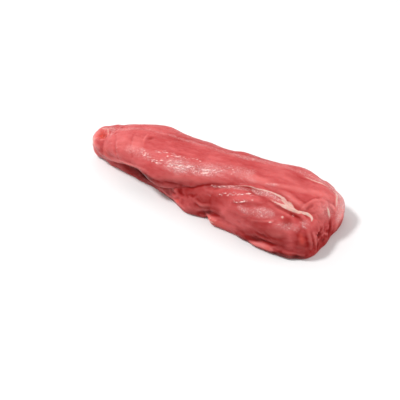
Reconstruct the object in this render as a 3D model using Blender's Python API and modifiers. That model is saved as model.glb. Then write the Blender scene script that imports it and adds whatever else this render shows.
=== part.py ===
"""A raw pork tenderloin lying on its flat underside: one solid, in metres with +Z up.

X runs along the muscle from its trimmed tail, at -X, to its thick head, at +X. The side with the
open lobes and furrows is -Y. The muscle is a soft union of lobes, each of them a chain of rounded
sections. A box whose faces are cut into a grid is laid over that union along rays from a spine.
Furrows, folds, dents and the strip of fat are then pressed into the skin or raised from it.
"""

import math
from collections import namedtuple
from functools import reduce

import bmesh
import bpy
import numpy as np

MM = 0.001

# Every size below is in millimetres. The spine is where the rays that find the skin start
TAIL_X = -127.0
HEAD_X = 131.5
SPINE_TAIL_X = TAIL_X + 13.0
SPINE_HEAD_X = HEAD_X - 23.5
SPINE_TAIL_Y = -2.0
SPINE_HEAD_Y = -12.0
SPINE_HEIGHT = 15.0

# Cells of the grid, and how the search along each ray is done
CELLS_LONG = 150
CELLS_ROUND = 24
LONGEST_RAY = 75.0
RAY_STEPS = 60
HALVINGS = 18
FLAT_BELOW = 0.001

# Edge length of the even skin, how many triangles are kept of it, and what then counts as flat
SKIN_EDGE = 1.5
TRIANGLES_KEPT = 10600
UNDERSIDE_BELOW = 0.05

# How softly the lobes run into each other, and the power that makes a section fuller than an oval
BLEND = 2.0
FULLNESS = 2.3

Section = namedtuple("Section", "x y z half_width half_height")
Lobe = namedtuple("Lobe", "tail_round head_round sections")

LOBES = {
    "main_muscle": Lobe(
        18.0,
        20.0,
        (
            Section(-104, 1, 17, 18, 12.5),
            Section(-84, 0, 21, 22, 14.5),
            Section(-55, -1, 23.5, 28, 14.5),
            Section(-28, -7, 24, 31, 14.5),
            Section(-9, -6, 25.5, 27.5, 13),
            Section(12, -5, 26, 25, 13.5),
            Section(34, -2, 25, 23.5, 15),
            Section(58, -1, 23.5, 23, 16.5),
            Section(84, -4, 22, 27, 17),
            Section(108, -6, 19, 25, 17),
        ),
    ),
    "tail_tip": Lobe(
        10.0,
        14.0,
        (
            Section(-117, 2, 11, 14, 15),
            Section(-98, 1, 10, 17, 14),
        ),
    ),
    "underlying_bed": Lobe(
        14.0,
        18.0,
        (
            Section(-104, 3, 8, 14, 12),
            Section(-55, 3, 8, 23, 17),
            Section(-10, -4, 8, 26, 19),
            Section(50, -3, 8, 24, 20),
            Section(106, -6, 8, 23, 20),
        ),
    ),
    "side_strap": Lobe(
        14.0,
        12.0,
        (
            Section(-94, -4, 3, 12, 8),
            Section(-65, -7, 3, 14, 10),
            Section(-35, -12, 4, 15, 12),
            Section(-10, -19, 5, 17, 15),
            Section(5, -21, 5, 20.5, 17),
            Section(18, -21, 6, 20, 20),
        ),
    ),
    "front_lobe": Lobe(
        24.0,
        12.0,
        (
            Section(30, -25, 12, 16.5, 16),
            Section(52, -27, 12, 18, 20),
            Section(78, -32, 11, 18, 23),
            Section(100, -34, 10, 18.5, 23),
            Section(117, -30, 8, 20, 20),
        ),
    ),
    "front_flap": Lobe(
        11.0,
        20.0,
        (
            Section(38, -36, 4, 10, 9),
            Section(60, -37.5, 4, 10, 9),
            Section(80, -40, 4, 10, 8),
        ),
    ),
    "end_wrap": Lobe(
        14.0,
        HEAD_X - 119.0,
        (
            Section(110, -3, 11, 21, 20),
            Section(119, -3, 11, 20.5, 18.5),
        ),
    ),
    "end_foot": Lobe(
        12.0,
        12.0,
        (
            Section(100, -22, 2, 14, 10),
            Section(118, -22, 2, 14, 10),
        ),
    ),
    "lower_lip": Lobe(
        12.0,
        12.0,
        (
            Section(70, -40, 3, 10, 6),
            Section(88, -43.5, 3, 10, 7),
            Section(106, -44, 3, 10, 6),
        ),
    ),
}

# A line on the skin passes points near it, and has a height there that is below zero in a furrow
Waypoint = namedtuple("Waypoint", "x y z half_width height")

LINES = {
    "main_furrow": (
        Waypoint(-26, -34, 12, 4.0, -0.4),
        Waypoint(-6, -32, 18, 5.0, -2.8),
        Waypoint(15, -30, 25, 5.0, -2.2),
        Waypoint(34, -26, 29, 4.5, -1.4),
        Waypoint(56, -22, 32, 4.0, -1.2),
        Waypoint(76, -27, 33, 4.0, -1.5),
        Waypoint(98, -33, 33, 4.0, -2.0),
        Waypoint(116, -34, 28, 3.5, -0.4),
    ),
    "fat_strip": (
        Waypoint(46, -22, 32, 2.5, 0.3),
        Waypoint(66, -21, 35, 3.5, 1.2),
        Waypoint(80, -26, 35, 6.0, 2.2),
        Waypoint(91, -29, 34, 7.0, 2.8),
        Waypoint(101, -32, 32, 4.0, 2.6),
        Waypoint(111, -31, 30, 3.0, 2.2),
        Waypoint(119, -33, 28, 3.0, 0.4),
    ),
    "pocket_above_flap": (
        Waypoint(18, -41, 4, 4.0, -1.5),
        Waypoint(24, -42, 10, 4.5, -4.0),
        Waypoint(31, -42, 14, 4.5, -3.0),
        Waypoint(41, -42, 18, 4.0, -0.5),
    ),
    "groove_over_lower_lip": (
        Waypoint(58, -48, 6, 3.5, -0.4),
        Waypoint(74, -50, 9, 4.0, -2.2),
        Waypoint(90, -52, 9, 4.5, -2.4),
        Waypoint(108, -50, 10, 4.0, -0.4),
    ),
    "head_crease": (
        Waypoint(118, -8, 33, 3.5, -0.4),
        Waypoint(125, -12, 28, 3.5, -2.2),
        Waypoint(128, -16, 21, 4.0, -2.8),
        Waypoint(129, -22, 13, 4.0, -2.8),
        Waypoint(129, -28, 8, 4.0, -0.4),
    ),
    "tail_crease": (
        Waypoint(-98, -7, 31, 3.5, -0.2),
        Waypoint(-90, -16, 29, 3.5, -1.2),
        Waypoint(-83, -22, 24, 3.5, -1.2),
        Waypoint(-81, -22, 14, 3.5, -0.2),
    ),
}

# A dent is round and falls smoothly to its depth
Dent = namedtuple("Dent", "x y z radius depth")

DENTS = {
    "tail_hollow": Dent(-114, -5, 27, 9.0, 4.0),
    "head_hole": Dent(128, -32, 16, 6.5, 5.0),
    "wall_hollow": Dent(2, -39, 14, 12.0, 2.0),
    "small_dimple": Dent(-53, -6, 38, 6.0, 1.0),
}

STRETCHES_PER_LINE = 40
SETTLING_ROUNDS = 4
SLOPE_STEP = 0.05
FULL_RELIEF_HEIGHT = 1.0

RAW_MEAT_COLOUR = (0.62, 0.13, 0.12, 1.0)
RAW_MEAT_ROUGHNESS = 0.32


def smooth_row(knots, values, x):
    """Cubic curve through the values at the knots, level beyond both ends."""
    slopes = np.gradient(values, knots)
    x = np.clip(x, knots[0], knots[-1])
    place = np.clip(np.searchsorted(knots, x, side="right") - 1, 0, len(knots) - 2)
    span = knots[place + 1] - knots[place]
    t = (x - knots[place]) / span
    rise = values[place + 1] - values[place]
    ease = t * t * (3 - 2 * t)
    lead_in = t * (1 - t) ** 2 * span * slopes[place]
    lead_out = t * t * (t - 1) * span * slopes[place + 1]
    return values[place] + rise * ease + lead_in + lead_out


def lobe_field(lobe, points):
    """About the distance to the lobe's surface, negative inside it."""
    x, y, z = points.T
    table = np.array(lobe.sections, float)
    knots = table[:, 0]
    centre_y, centre_z, half_width, half_height = (
        smooth_row(knots, column, x) for column in table[:, 1:].T
    )
    parts = (
        np.abs((y - centre_y) / half_width),
        np.abs((z - centre_z) / half_height),
        np.maximum(knots[0] - x, 0) / lobe.tail_round,
        np.maximum(x - knots[-1], 0) / lobe.head_round,
    )
    level = sum(part**FULLNESS for part in parts) ** (1 / FULLNESS)
    return (level - 1) * np.minimum(half_width, half_height)


def soft_union(first, second):
    """The lower of two fields, rounded where they meet."""
    share = np.clip(0.5 + 0.5 * (second - first) / BLEND, 0, 1)
    return second + (first - second) * share - BLEND * share * (1 - share)


def muscle_field(points):
    """The union of all the lobes, cut off level at the surface that the meat lies on."""
    fields = (lobe_field(lobe, points) for lobe in LOBES.values())
    return -soft_union(-reduce(soft_union, fields), points[:, 2])


def rays_from_box(corners):
    """A point of the spine and a direction for each point of the box from -1 to 1."""
    along, side, top = corners.T
    side_turn = np.tan(side * math.pi / 4)
    top_turn = np.tan(top * math.pi / 4)
    ring = np.maximum(np.abs(side_turn), np.abs(top_turn))
    size = np.maximum(np.hypot(side_turn, top_turn), FLAT_BELOW)
    at_end = np.abs(along) > 1 - FLAT_BELOW
    tilt = np.where(at_end, ring, 1.0) * math.pi / 2
    share = (along + 1) / 2
    spine_x = SPINE_TAIL_X + (SPINE_HEAD_X - SPINE_TAIL_X) * share
    spine_y = SPINE_TAIL_Y + (SPINE_HEAD_Y - SPINE_TAIL_Y) * share
    start = np.stack([spine_x, spine_y, np.full(len(share), SPINE_HEIGHT)], 1)
    ahead = np.where(at_end, np.sign(along) * np.cos(tilt), 0.0)
    outward = np.sin(tilt) / size
    aim = np.stack([ahead, side_turn * outward, top_turn * outward], 1)
    return start, aim


def skin_points(start, aim):
    """Where rays from the spine leave the muscle, searched from outside and then halved."""
    inside = np.zeros(len(start))
    outside = np.full(len(start), LONGEST_RAY)
    searching = np.ones(len(start), bool)
    steps = np.linspace(LONGEST_RAY, 0, RAY_STEPS)
    for far, near in zip(steps[:-1], steps[1:]):
        rows = np.flatnonzero(searching)
        hit = rows[muscle_field(start[rows] + aim[rows] * near) < 0]
        inside[hit] = near
        outside[hit] = far
        searching[hit] = False
    for _ in range(HALVINGS):
        middle = (inside + outside) / 2
        within = muscle_field(start + aim * middle[:, None]) < 0
        inside = np.where(within, middle, inside)
        outside = np.where(within, outside, middle)
    points = start + aim * inside[:, None]
    points[points[:, 2] < FLAT_BELOW, 2] = 0.0
    return points


def settled(points):
    """The points moved onto the skin, along the slope of the field."""
    for _ in range(SETTLING_ROUNDS):
        level = muscle_field(points)
        steps = np.eye(3) * SLOPE_STEP
        slope = np.stack([muscle_field(points + step) - level for step in steps], 1) / SLOPE_STEP
        points = points - slope * (level / np.sum(slope**2, 1))[:, None]
    return points


def bump(share):
    """1 in the middle of a feature, falling smoothly to 0 at its edge, where the share is 1."""
    return (1 - np.clip(share, 0, 1) ** 2) ** 2


def line_relief(waypoints, points):
    """How far the line through the waypoints raises each point of the skin."""
    table = np.array(waypoints, float)
    knots = np.arange(len(table), dtype=float)
    places = np.linspace(0, knots[-1], STRETCHES_PER_LINE + 1)
    route = np.stack([smooth_row(knots, column, places) for column in table.T], 1)
    course = settled(route[:, :3])
    closest = np.full(len(points), np.inf)
    relief = np.zeros(len(points))
    for begin, end, here, there in zip(course[:-1], course[1:], route[:-1], route[1:]):
        stretch = end - begin
        share = np.clip((points - begin) @ stretch / (stretch @ stretch), 0, 1)
        gap = np.linalg.norm(points - begin - share[:, None] * stretch, axis=1)
        half_width, height = (here + (there - here) * share[:, None])[:, 3:].T
        relief = np.where(gap < closest, height * bump(gap / half_width), relief)
        closest = np.minimum(gap, closest)
    return relief


def dent_relief(dent, points):
    """How far the dent raises each point of the skin, which is a negative height."""
    middle = settled(np.array([[dent.x, dent.y, dent.z]], float))
    return -dent.depth * bump(np.linalg.norm(points - middle, axis=1) / dent.radius)


def skin_relief(points):
    """All the lines and dents together, none of them on the flat underside."""
    height = sum(line_relief(waypoints, points) for waypoints in LINES.values())
    height = height + sum(dent_relief(dent, points) for dent in DENTS.values())
    return height * np.clip(points[:, 2] / FULL_RELIEF_HEIGHT, 0, 1)


def centred(points):
    """The points moved sideways until the origin is the middle of their box."""
    middle = (points.min(0) + points.max(0)) / 2
    middle[2] = 0.0
    return points - middle


def gridded_box():
    """A cube from -1 to 1, cut into cells along and round."""
    box = bmesh.new()
    bmesh.ops.create_cube(box, size=2.0)
    for axis, cells in enumerate((CELLS_LONG, CELLS_ROUND, CELLS_ROUND)):
        edges = [
            edge
            for edge in box.edges
            if abs(edge.verts[0].co[axis] - edge.verts[1].co[axis]) > 1.0
        ]
        bmesh.ops.subdivide_edges(box, edges=edges, cuts=cells - 1, use_grid_fill=True)
    return box


def raw_meat():
    """Wet raw muscle."""
    meat = bpy.data.materials.new("raw_meat")
    meat.use_nodes = True
    surface = meat.node_tree.nodes["Principled BSDF"]
    surface.inputs["Base Color"].default_value = RAW_MEAT_COLOUR
    surface.inputs["Roughness"].default_value = RAW_MEAT_ROUGHNESS
    surface.inputs["Metallic"].default_value = 0.0
    return meat


def after_modifier(mesh, kind, settings):
    """A new mesh: the given one after a modifier with these settings."""
    carrier = bpy.data.objects.new("carrier", mesh)
    bpy.context.scene.collection.objects.link(carrier)
    modifier = carrier.modifiers.new(kind.lower(), kind)
    for name, value in settings.items():
        setattr(modifier, name, value)
    graph = bpy.context.evaluated_depsgraph_get()
    changed = bpy.data.meshes.new_from_object(carrier.evaluated_get(graph))
    bpy.data.objects.remove(carrier)
    bpy.data.meshes.remove(mesh)
    return changed


def mesh_points(mesh):
    """The mesh's points as rows of an array."""
    points = np.empty(len(mesh.vertices) * 3)
    mesh.vertices.foreach_get("co", points)
    return points.reshape(-1, 3)


def place_points(mesh, points):
    """Moves the mesh's points."""
    mesh.vertices.foreach_set("co", points.ravel())
    mesh.update()


def plain_skin():
    """The skin with no relief, as even quads that lie on the field."""
    box = gridded_box()
    start, aim = rays_from_box(np.array([vert.co for vert in box.verts]))
    for vert, point in zip(box.verts, skin_points(start, aim)):
        vert.co = point
    bmesh.ops.recalc_face_normals(box, faces=box.faces)
    mesh = bpy.data.meshes.new("skin")
    box.to_mesh(mesh)
    box.free()
    mesh = after_modifier(mesh, "REMESH", {"mode": "VOXEL", "voxel_size": SKIN_EDGE})
    place_points(mesh, settled(mesh_points(mesh)))
    return mesh


def build_tenderloin(collection):
    """The one solid."""
    mesh = plain_skin()
    points = mesh_points(mesh)
    normals = np.array([normal.vector for normal in mesh.vertex_normals])
    place_points(mesh, points + normals * skin_relief(points)[:, None])
    mesh.calc_loop_triangles()
    ratio = min(TRIANGLES_KEPT / len(mesh.loop_triangles), 1.0)
    mesh = after_modifier(mesh, "DECIMATE", {"ratio": ratio})
    points = centred(mesh_points(mesh))
    points[points[:, 2] < UNDERSIDE_BELOW, 2] = 0.0
    place_points(mesh, points * MM)
    mesh.name = "tenderloin"
    mesh.shade_smooth()
    mesh.materials.append(raw_meat())
    tenderloin = bpy.data.objects.new("tenderloin", mesh)
    collection.objects.link(tenderloin)
    return tenderloin


def main():
    """Clears the file and builds the tenderloin in its own collection."""
    for leftover in list(bpy.data.objects):
        bpy.data.objects.remove(leftover)
    collection = bpy.data.collections.new("pork_tenderloin")
    bpy.context.scene.collection.children.link(collection)
    build_tenderloin(collection)


main()
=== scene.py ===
"""A raw pork tenderloin on a pale floor, in metres with +Z up.

The skin repeats the form of the solid, a soft union of lobes with furrows, dents and a strip of
fat, on a much finer and even mesh. Each part of the skin also knows which tissue covers it: fat,
thin film, smooth pale flesh, deep red flesh or warm flesh at a cut edge, and which light is
painted on it: painted shade in hollows, creases, under the lips and at the foot, painted light on
flanks and ridges, painted sheen with the film and painted glints on wet flesh. The finish mixes
the colour, the gloss and the fine relief of the meat from those masks.
"""

import logging
import math
import random
from dataclasses import dataclass, field
from enum import Enum
from functools import reduce

import bmesh
import bpy
import numpy as np
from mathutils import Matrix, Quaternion, Vector, noise


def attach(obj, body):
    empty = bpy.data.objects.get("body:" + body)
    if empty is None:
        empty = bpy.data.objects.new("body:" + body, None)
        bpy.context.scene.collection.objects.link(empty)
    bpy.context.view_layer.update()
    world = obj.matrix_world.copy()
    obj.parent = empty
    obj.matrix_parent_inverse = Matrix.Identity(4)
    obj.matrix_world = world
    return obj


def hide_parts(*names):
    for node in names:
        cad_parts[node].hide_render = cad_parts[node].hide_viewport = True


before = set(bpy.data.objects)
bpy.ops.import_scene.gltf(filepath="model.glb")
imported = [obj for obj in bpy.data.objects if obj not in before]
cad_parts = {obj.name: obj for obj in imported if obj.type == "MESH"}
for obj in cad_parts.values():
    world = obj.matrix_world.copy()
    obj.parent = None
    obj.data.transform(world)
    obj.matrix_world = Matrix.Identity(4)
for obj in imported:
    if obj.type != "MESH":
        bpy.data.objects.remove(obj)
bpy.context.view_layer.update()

LOG = logging.getLogger("tenderloin")
MM = 0.001
CM = 100.0
NEARLY_ZERO = 1e-9
MIX_FIRST = 6
MIX_SECOND = 7
MIX_RESULT = 2
Socket = bpy.types.NodeSocket
Value = Socket | float | tuple[float, ...]
Colour = tuple[float, float, float, float]
Range = tuple[float, float]


class Tissue(Enum):
    """What covers a part of the skin, or the light or shade painted on it, by the name of its mask."""

    FAT = "fat"
    # thin film, also painted sheen on the crest, along the far edge and on the ends
    FILM_AND_SHEEN = "film_and_sheen"
    # pale flesh, also painted light on flanks that face away from the lamps and on ridges
    PALE_AND_LIT = "pale_and_lit"
    # deep red flesh, also painted shade in hollows, creases, under the lips and at the foot
    DEEP_AND_SHADE = "deep_and_shade"
    WARM = "warm"
    # wet flesh: its coat is real gloss, its pale dashes are painted glints
    WET_AND_GLINT = "wet_and_glint"
    # painted glints: pale streaks where wet flesh catches the light
    PAINTED_GLINT = "painted_glint"


FAT, FILM_AND_SHEEN, PALE_AND_LIT, DEEP_AND_SHADE, WARM, WET_AND_GLINT, PAINTED_GLINT = Tissue


def smooth_row(knots: np.ndarray, values: np.ndarray, x: np.ndarray) -> np.ndarray:
    """Cubic curve through the values at the knots, level beyond both ends.

    Args:
        knots: Rising places where the values are known.
        values: The value at each knot.
        x: Places to read the curve at.

    Returns:
        The curve's value at each place.
    """
    slopes = np.gradient(values, knots)
    x = np.clip(x, knots[0], knots[-1])
    place = np.clip(np.searchsorted(knots, x, side="right") - 1, 0, len(knots) - 2)
    span = knots[place + 1] - knots[place]
    t = (x - knots[place]) / span
    rise = values[place + 1] - values[place]
    ease = t * t * (3 - 2 * t)
    lead_in = t * (1 - t) ** 2 * span * slopes[place]
    lead_out = t * t * (t - 1) * span * slopes[place + 1]
    return values[place] + rise * ease + lead_in + lead_out


@dataclass(frozen=True)
class Lobe:
    """A chain of rounded sections along X, each a place and its half width and half height."""

    tail_round: float
    head_round: float
    sections: tuple[tuple[float, ...], ...]

    @classmethod
    def through(cls, tail_round: float, head_round: float, *sections: tuple[float, ...]) -> "Lobe":
        """A lobe through sections of x, y, z, half width and half height, in millimetres."""
        return cls(tail_round, head_round, sections)

    def field(self, points: np.ndarray, fullness: float) -> np.ndarray:
        """About the distance to the lobe's surface, negative inside it.

        Args:
            points: Rows of x, y and z.
            fullness: Power of the section, 2 for an oval and more for a fuller one.

        Returns:
            One distance for each point.
        """
        x, y, z = points.T
        table = np.array(self.sections, float)
        knots = table[:, 0]
        centre_y, centre_z, half_width, half_height = (
            smooth_row(knots, column, x) for column in table[:, 1:].T
        )
        parts = (
            np.abs((y - centre_y) / half_width),
            np.abs((z - centre_z) / half_height),
            np.maximum(knots[0] - x, 0) / self.tail_round,
            np.maximum(x - knots[-1], 0) / self.head_round,
        )
        level = sum(part**fullness for part in parts) ** (1 / fullness)
        return (level - 1) * np.minimum(half_width, half_height)


def bump(share: np.ndarray) -> np.ndarray:
    """1 in the middle of a feature, falling smoothly to 0 where the share reaches 1."""
    return (1 - np.clip(share, 0, 1) ** 2) ** 2


def noise_at(places: np.ndarray) -> np.ndarray:
    """Smooth noise around 0 at each of the places."""
    return np.array([noise.noise(Vector(row)) for row in places])


@dataclass(frozen=True)
class MuscleForm:
    """The muscle without its fine relief, in millimetres: a union of lobes on a flat underside."""

    tail_x: float = -127.0
    head_x: float = 131.5
    spine_tail_gap: float = 13.0
    spine_head_gap: float = 23.5
    spine_tail_y: float = -2.0
    spine_head_y: float = -12.0
    spine_height: float = 15.0
    wrap_x: float = 119.0
    cells_long: int = 220
    cells_round: int = 34
    longest_ray: float = 75.0
    ray_steps: int = 60
    halvings: int = 18
    settling_rounds: int = 5
    slope_step: float = 0.05
    blend: float = 2.0
    fullness: float = 2.3
    tiny: float = 0.001

    def lobes(self) -> dict[str, Lobe]:
        """The lobes that make up the muscle.

        Returns:
            Each lobe by its name, the long ones first.
        """
        end_round = self.head_x - self.wrap_x
        return {
            "main_muscle": Lobe.through(
                18, 20, (-104, 1, 17, 18, 12.5), (-84, 0, 21, 22, 14.5), (-55, -1, 23.5, 28, 14.5),
                (-28, -7, 24, 31, 14.5), (-9, -6, 25.5, 27.5, 13), (12, -5, 26, 25, 13.5),
                (34, -2, 25, 23.5, 15), (58, -1, 23.5, 23, 16.5), (84, -4, 22, 27, 17),
                (108, -6, 19, 25, 17)
            ),
            "tail_tip": Lobe.through(10, 14, (-117, 2, 11, 14, 15), (-98, 1, 10, 17, 14)),
            "underlying_bed": Lobe.through(
                14, 18, (-104, 3, 8, 14, 12), (-55, 3, 8, 23, 17), (-10, -4, 8, 26, 19),
                (50, -3, 8, 24, 20), (106, -6, 8, 23, 20)
            ),
            "side_strap": Lobe.through(
                14, 12, (-94, -4, 3, 12, 8), (-65, -7, 3, 14, 10), (-35, -12, 4, 15, 12),
                (-10, -19, 5, 17, 15), (5, -21, 5, 20.5, 17), (18, -21, 6, 20, 20)
            ),
            "front_lobe": Lobe.through(
                24, 12, (30, -25, 12, 16.5, 16), (52, -27, 12, 18, 20), (78, -32, 11, 18, 23),
                (100, -34, 10, 18.5, 23), (117, -30, 8, 20, 20)
            ),
            "front_flap": Lobe.through(
                11, 20, (38, -36, 4, 10, 9), (60, -37.5, 4, 10, 9), (80, -40, 4, 10, 8)
            ),
            "end_wrap": Lobe.through(
                14, end_round, (110, -3, 11, 21, 20), (self.wrap_x, -3, 11, 20.5, 18.5)
            ),
            "end_foot": Lobe.through(12, 12, (100, -22, 2, 14, 10), (118, -22, 2, 14, 10)),
            "lower_lip": Lobe.through(
                12, 12, (70, -40, 3, 10, 6), (88, -43.5, 3, 10, 7), (106, -44, 3, 10, 6)
            ),
        }

    def soft_union(self, first: np.ndarray, second: np.ndarray) -> np.ndarray:
        """The lower of two fields, rounded where they meet.

        Args:
            first: One field.
            second: The other field, at the same points.

        Returns:
            The joined field.
        """
        share = np.clip(0.5 + 0.5 * (second - first) / self.blend, 0, 1)
        return second + (first - second) * share - self.blend * share * (1 - share)

    def field(self, points: np.ndarray) -> np.ndarray:
        """The union of all the lobes, cut off level at the surface that the meat lies on.

        Args:
            points: Rows of x, y and z.

        Returns:
            About the distance to the skin at each point, negative inside.
        """
        fields = (lobe.field(points, self.fullness) for lobe in self.lobes().values())
        return -self.soft_union(-reduce(self.soft_union, fields), points[:, 2])

    def spine_ends(self) -> tuple[float, float]:
        """Where along X the spine starts and ends."""
        return self.tail_x + self.spine_tail_gap, self.head_x - self.spine_head_gap

    def spine_y(self, x: np.ndarray) -> np.ndarray:
        """How far to the side the spine lies.

        Args:
            x: Places along the muscle.

        Returns:
            The spine's y at each place.
        """
        tail, head = self.spine_ends()
        share = np.clip((x - tail) / (head - tail), 0, 1)
        return self.spine_tail_y + (self.spine_head_y - self.spine_tail_y) * share

    def rays_from_box(self, corners: np.ndarray) -> tuple[np.ndarray, np.ndarray]:
        """A point of the spine and a direction for each point of the box from -1 to 1.

        Args:
            corners: The gridded box's points.

        Returns:
            The rays' starts and their unit directions.
        """
        along, side, top = corners.T
        side_turn = np.tan(side * math.pi / 4)
        top_turn = np.tan(top * math.pi / 4)
        ring = np.maximum(np.abs(side_turn), np.abs(top_turn))
        size = np.maximum(np.hypot(side_turn, top_turn), self.tiny)
        at_end = np.abs(along) > 1 - self.tiny
        tilt = np.where(at_end, ring, 1.0) * math.pi / 2
        tail, head = self.spine_ends()
        spine_x = tail + (head - tail) * (along + 1) / 2
        start = np.stack([spine_x, self.spine_y(spine_x), np.full(len(along), self.spine_height)], 1)
        ahead = np.where(at_end, np.sign(along) * np.cos(tilt), 0.0)
        outward = np.sin(tilt) / size
        return start, np.stack([ahead, side_turn * outward, top_turn * outward], 1)

    def skin_points(self, start: np.ndarray, aim: np.ndarray) -> np.ndarray:
        """Where rays from the spine leave the muscle, searched from outside and then halved.

        Args:
            start: The rays' starts.
            aim: Their unit directions.

        Returns:
            The points where they leave.
        """
        inside = np.zeros(len(start))
        outside = np.full(len(start), self.longest_ray)
        searching = np.ones(len(start), bool)
        steps = np.linspace(self.longest_ray, 0, self.ray_steps)
        for far, near in zip(steps[:-1], steps[1:]):
            rows = np.flatnonzero(searching)
            hit = rows[self.field(start[rows] + aim[rows] * near) < 0]
            inside[hit] = near
            outside[hit] = far
            searching[hit] = False
        for _ in range(self.halvings):
            middle = (inside + outside) / 2
            within = self.field(start + aim * middle[:, None]) < 0
            inside = np.where(within, middle, inside)
            outside = np.where(within, outside, middle)
        return start + aim * inside[:, None]

    def settled(self, points: np.ndarray) -> np.ndarray:
        """The points moved onto the skin, along the slope of the field.

        Args:
            points: Rows of x, y and z near the skin.

        Returns:
            The moved points.
        """
        for _ in range(self.settling_rounds):
            level = self.field(points)
            steps = np.eye(3) * self.slope_step
            slope = np.stack([self.field(points + step) - level for step in steps], 1)
            slope = slope / self.slope_step
            points = points - slope * (level / np.sum(slope**2, 1))[:, None]
        return points

    def grid_mesh(self) -> bpy.types.Mesh:
        """The gridded box laid over the muscle.

        Returns:
            A closed mesh of quads, uneven in size.
        """
        box = bmesh.new()
        bmesh.ops.create_cube(box, size=2.0)
        for axis, cells in enumerate((self.cells_long, self.cells_round, self.cells_round)):
            edges = [
                edge
                for edge in box.edges
                if abs(edge.verts[0].co[axis] - edge.verts[1].co[axis]) > 1.0
            ]
            bmesh.ops.subdivide_edges(box, edges=edges, cuts=cells - 1, use_grid_fill=True)
        start, aim = self.rays_from_box(np.array([vert.co for vert in box.verts]))
        for vert, point in zip(box.verts, self.skin_points(start, aim)):
            vert.co = point
        bmesh.ops.recalc_face_normals(box, faces=box.faces)
        mesh = bpy.data.meshes.new("skin")
        box.to_mesh(mesh)
        box.free()
        return mesh


@dataclass(frozen=True)
class Stroke:
    """A line on the skin that raises or sinks it and may lay a tissue, or painted light or shade, over it.
    """

    tissue: Tissue | None
    waypoints: tuple[tuple[float, ...], ...]
    stretches: int = 40

    @classmethod
    def through(cls, tissue: Tissue | None, *waypoints: tuple[float, ...]) -> "Stroke":
        """A stroke through waypoints of x, y, z, half width, height and share of the tissue."""
        return cls(tissue, waypoints)

    def marks(self, form: MuscleForm, points: np.ndarray) -> tuple[np.ndarray, np.ndarray]:
        """What the stroke does to each point.

        Args:
            form: The muscle that carries the stroke.
            points: Points of its skin.

        Returns:
            The height that it adds, in millimetres, and the share of its tissue.
        """
        table = np.array(self.waypoints, float)
        knots = np.arange(len(table), dtype=float)
        places = np.linspace(0, knots[-1], self.stretches + 1)
        route = np.stack([smooth_row(knots, column, places) for column in table.T], 1)
        course = form.settled(route[:, :3])
        reach = route[:, 3].max()
        near = np.flatnonzero(
            np.all(points > course.min(0) - reach, 1) & np.all(points < course.max(0) + reach, 1)
        )
        spots = points[near]
        closest = np.full(len(near), np.inf)
        height = np.zeros(len(near))
        cover = np.zeros(len(near))
        for begin, end, here, there in zip(course[:-1], course[1:], route[:-1], route[1:]):
            stretch = end - begin
            share = np.clip((spots - begin) @ stretch / max(stretch @ stretch, NEARLY_ZERO), 0, 1)
            gap = np.linalg.norm(spots - begin - share[:, None] * stretch, axis=1)
            half_width, rise, tint = (here + (there - here) * share[:, None])[:, 3:].T
            shape = bump(gap / half_width)
            nearer = gap < closest
            height = np.where(nearer, rise * shape, height)
            cover = np.where(nearer, tint * shape, cover)
            closest = np.minimum(gap, closest)
        heights = np.zeros(len(points))
        covers = np.zeros(len(points))
        heights[near] = height
        covers[near] = cover
        return heights, covers


@dataclass(frozen=True)
class Spot:
    """A round place on the skin, in millimetres, raised or sunk and perhaps covered by a tissue,
    painted light or painted shade.
    """

    tissue: Tissue | None
    x: float
    y: float
    z: float
    radius: float
    height: float = 0.0
    tint: float = 0.0

    def lift(self, shape: np.ndarray, offset: np.ndarray, points: np.ndarray) -> np.ndarray:
        """The share of the height at points near the spot, here the rounded step itself."""
        return shape

    def marks(self, form: MuscleForm, points: np.ndarray) -> tuple[np.ndarray, np.ndarray]:
        """What the spot does to each point.

        Args:
            form: The muscle that carries the spot.
            points: Points of its skin.

        Returns:
            The height that it adds, in millimetres, and the share of its tissue.
        """
        offset = points - form.settled(np.array([[self.x, self.y, self.z]], float))
        shape = bump(np.linalg.norm(offset, axis=1) / self.radius)
        near = np.flatnonzero(shape)
        height = np.zeros(len(points))
        height[near] = self.lift(shape[near], offset[near], points[near]) * self.height
        return height, self.tint * shape


@dataclass(frozen=True)
class Wrinkles(Spot):
    """A patch of small folds, as sharp ridges of noise."""

    size: float = 4.0
    along: float = 1.0
    crest: float = 0.6
    steepness: float = 2.5

    def lift(self, shape: np.ndarray, offset: np.ndarray, points: np.ndarray) -> np.ndarray:
        """The share of the height at each point, above zero on the folds and below it between.

        Args:
            shape: The rounded step of the patch.
            offset: The way from its middle.
            points: Points of the skin near it.

        Returns:
            One share for each point.
        """
        scaled = points / np.array([self.size * self.along, self.size, self.size])
        return (self.crest - self.steepness * np.abs(noise_at(scaled))) * shape


@dataclass(frozen=True)
class Pucker(Spot):
    """Small folds that run out from a hole like spokes."""

    folds: int = 7
    crookedness: float = 1.3
    crook_size: float = 5.0

    def lift(self, shape: np.ndarray, offset: np.ndarray, points: np.ndarray) -> np.ndarray:
        """The share of the height at each point, strongest halfway out.

        Args:
            shape: The rounded step around the hole.
            offset: The way from its middle.
            points: Points of the skin near it.

        Returns:
            One share for each point.
        """
        turn = np.arctan2(offset[:, 2], offset[:, 1])
        crook = noise_at(points / self.crook_size)
        spokes = np.cos(self.folds * turn + crook * self.crookedness * math.pi)
        return spokes * (4 * shape * (1 - shape))


FLECK_HALF_LENGTHS = (1.1, 2.7)
FLECK_HALF_WIDTHS = (0.6, 1.2)
FLECK_SHARES = (0.55, 1.1)


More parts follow.
